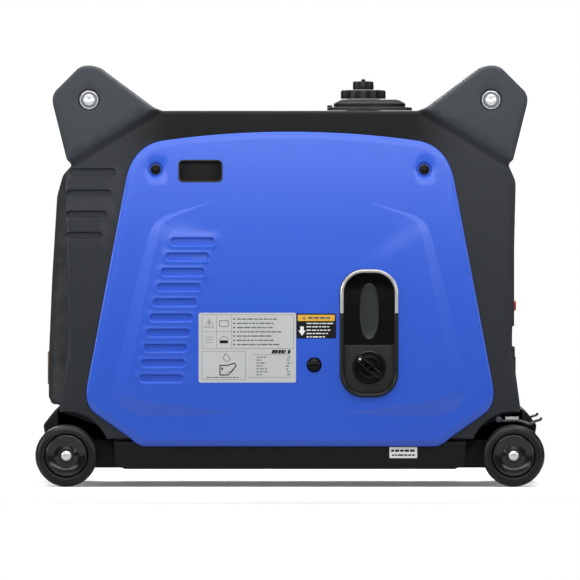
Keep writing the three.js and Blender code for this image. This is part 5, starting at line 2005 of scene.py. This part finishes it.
@dataclass
class Studio:
    """Pale floor, soft lights and the camera."""

    sizes: CaseSizes
    distance: float = 24.0
    width: float = 0.691
    ambient: float = 0.1
    bounce: float = 0.2
    gloss: float = 0.35
    glow: float = 0.14
    centre: Pair = (0.0, 0.2345)
    eye: float = 0.45

    def floor(self) -> None:
        """Large pale disc under the wheels; it throws less light back than the camera sees."""
        disc = ellipse(0, 0, 2400, 2400, 96)
        floor = loft("studio_floor", [Axis.Z.place(disc, -0.3), Axis.Z.place(disc, -0.2)])
        paper = Finish("", (0.93, 0.93, 0.93), roughness=0.6, grain=0.0, wear=0,
                       dust=0).material("studio_paper")
        tree = paper.node_tree
        path = node(tree, "LightPath").outputs
        seen = math_node(tree, "MULTIPLY_ADD", path["Is Glossy Ray"], self.gloss, path["Is Camera Ray"])
        tint = mixed(tree, seen, (self.bounce, self.bounce, self.bounce, 1), (0.95, 0.95, 0.95, 1))
        feed(tree, tree.nodes["Principled BSDF"],
             {"Base Color": tint, "Emission Color": (1, 1, 1, 1), "Emission Strength": self.glow})
        floor.data.materials.append(paper)

    def area(self, name: str, where: Sequence[float], target: Sequence[float], size: Pair,
             power: float) -> None:
        """Rectangular soft light aimed at a point; lengths in metres."""
        data = bpy.data.lights.new(name, "AREA")
        data.shape = "RECTANGLE"
        data.size, data.size_y = size
        data.energy = power
        light = bpy.data.objects.new(name, data)
        light.location = where
        light.rotation_euler = (Vector(target) - Vector(where)).to_track_quat("-Z", "Y").to_euler()
        light.visible_camera = False
        bpy.context.scene.collection.objects.link(light)

    def world(self) -> None:
        """Even white surroundings."""
        world = bpy.data.worlds.new("studio_white")
        bpy.context.scene.world = world
        world.use_nodes = True
        tree = world.node_tree
        seen = node(tree, "LightPath").outputs["Is Camera Ray"]
        level = node(tree, "MapRange", {"To Min": self.ambient, "To Max": 1.0, "Value": seen})
        feed(tree, tree.nodes["Background"], {"Color": (1, 1, 1, 1), "Strength": level.outputs[0]})

    def camera(self) -> None:
        """Long lens at the height of the case's top, square to the near side."""
        data = bpy.data.cameras.new("camera")
        data.sensor_width = 36
        data.lens = 36 * self.distance / self.width
        data.clip_end = 100
        camera = bpy.data.objects.new("camera", data)
        face = -self.sizes.side * MM
        camera.location = (self.centre[0], face - self.distance, self.eye)
        aim = Vector((self.centre[0], face, self.centre[1])) - camera.location
        camera.rotation_euler = aim.to_track_quat("-Z", "Y").to_euler()
        bpy.context.scene.collection.objects.link(camera)
        bpy.context.scene.camera = camera

    def build(self) -> None:
        """Make the whole setting."""
        self.floor()
        self.world()
        self.camera()
        self.area("overhead", (0.0, 0.3, 2.4), (0, 0.3, 0), (2.6, 2.2), 60)
        self.area("key_above", (0.0, -0.6, 0.92), (0, -0.2, 0.42), (1.5, 0.25), 6.6)
        self.area("front_veil", (0.0, -1.0, 0.5), (0, -0.2, 0.42), (1.5, 0.14), 3.8)
        self.area("strip_left", (-1.35, -0.5, 0.6), (0, -0.2, 0.35), (0.25, 0.7), 6.5)
        self.area("strip_right", (1.35, -0.5, 0.6), (0, -0.2, 0.35), (0.25, 0.7), 4)
        self.area("back_fill", (0.0, 1.9, 0.9), (0, 0.2, 0.25), (1.8, 0.6), 22)
        bpy.context.scene.view_settings.view_transform = "Standard"


def plain(bounds: Sequence[Sequence[float]]) -> list[list[float]]:
    """Bounds as plain lists of numbers."""
    return [[float(v) for v in corner] for corner in bounds]


def main() -> None:
    """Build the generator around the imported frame."""
    logging.basicConfig(level=logging.INFO, format="%(name)s: %(message)s")
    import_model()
    sizes = CaseSizes.measured()
    BaseTray(sizes).build()
    TopCover(sizes).build()
    ExhaustEnd(sizes).build()
    ControlEnd(sizes).build()
    covers = {side: SideCover(sizes, side) for side in Side}
    for side in Side:
        SideShell(sizes, side).build()
        covers[side].build()
        Brake(sizes, side).build()
        for end in End:
            Wheel(sizes, side, end).build()
    for end in End:
        Axle(sizes, end).build()
    CarryBars(sizes).build()
    CoverFittings(sizes, covers[Side.NEAR]).build()
    StarterBay(sizes).build()
    Filler(sizes).build()
    Labels(sizes, covers[Side.NEAR]).build()
    dress_engine()
    Studio(sizes).build()


if __name__ == "__main__":
    main()
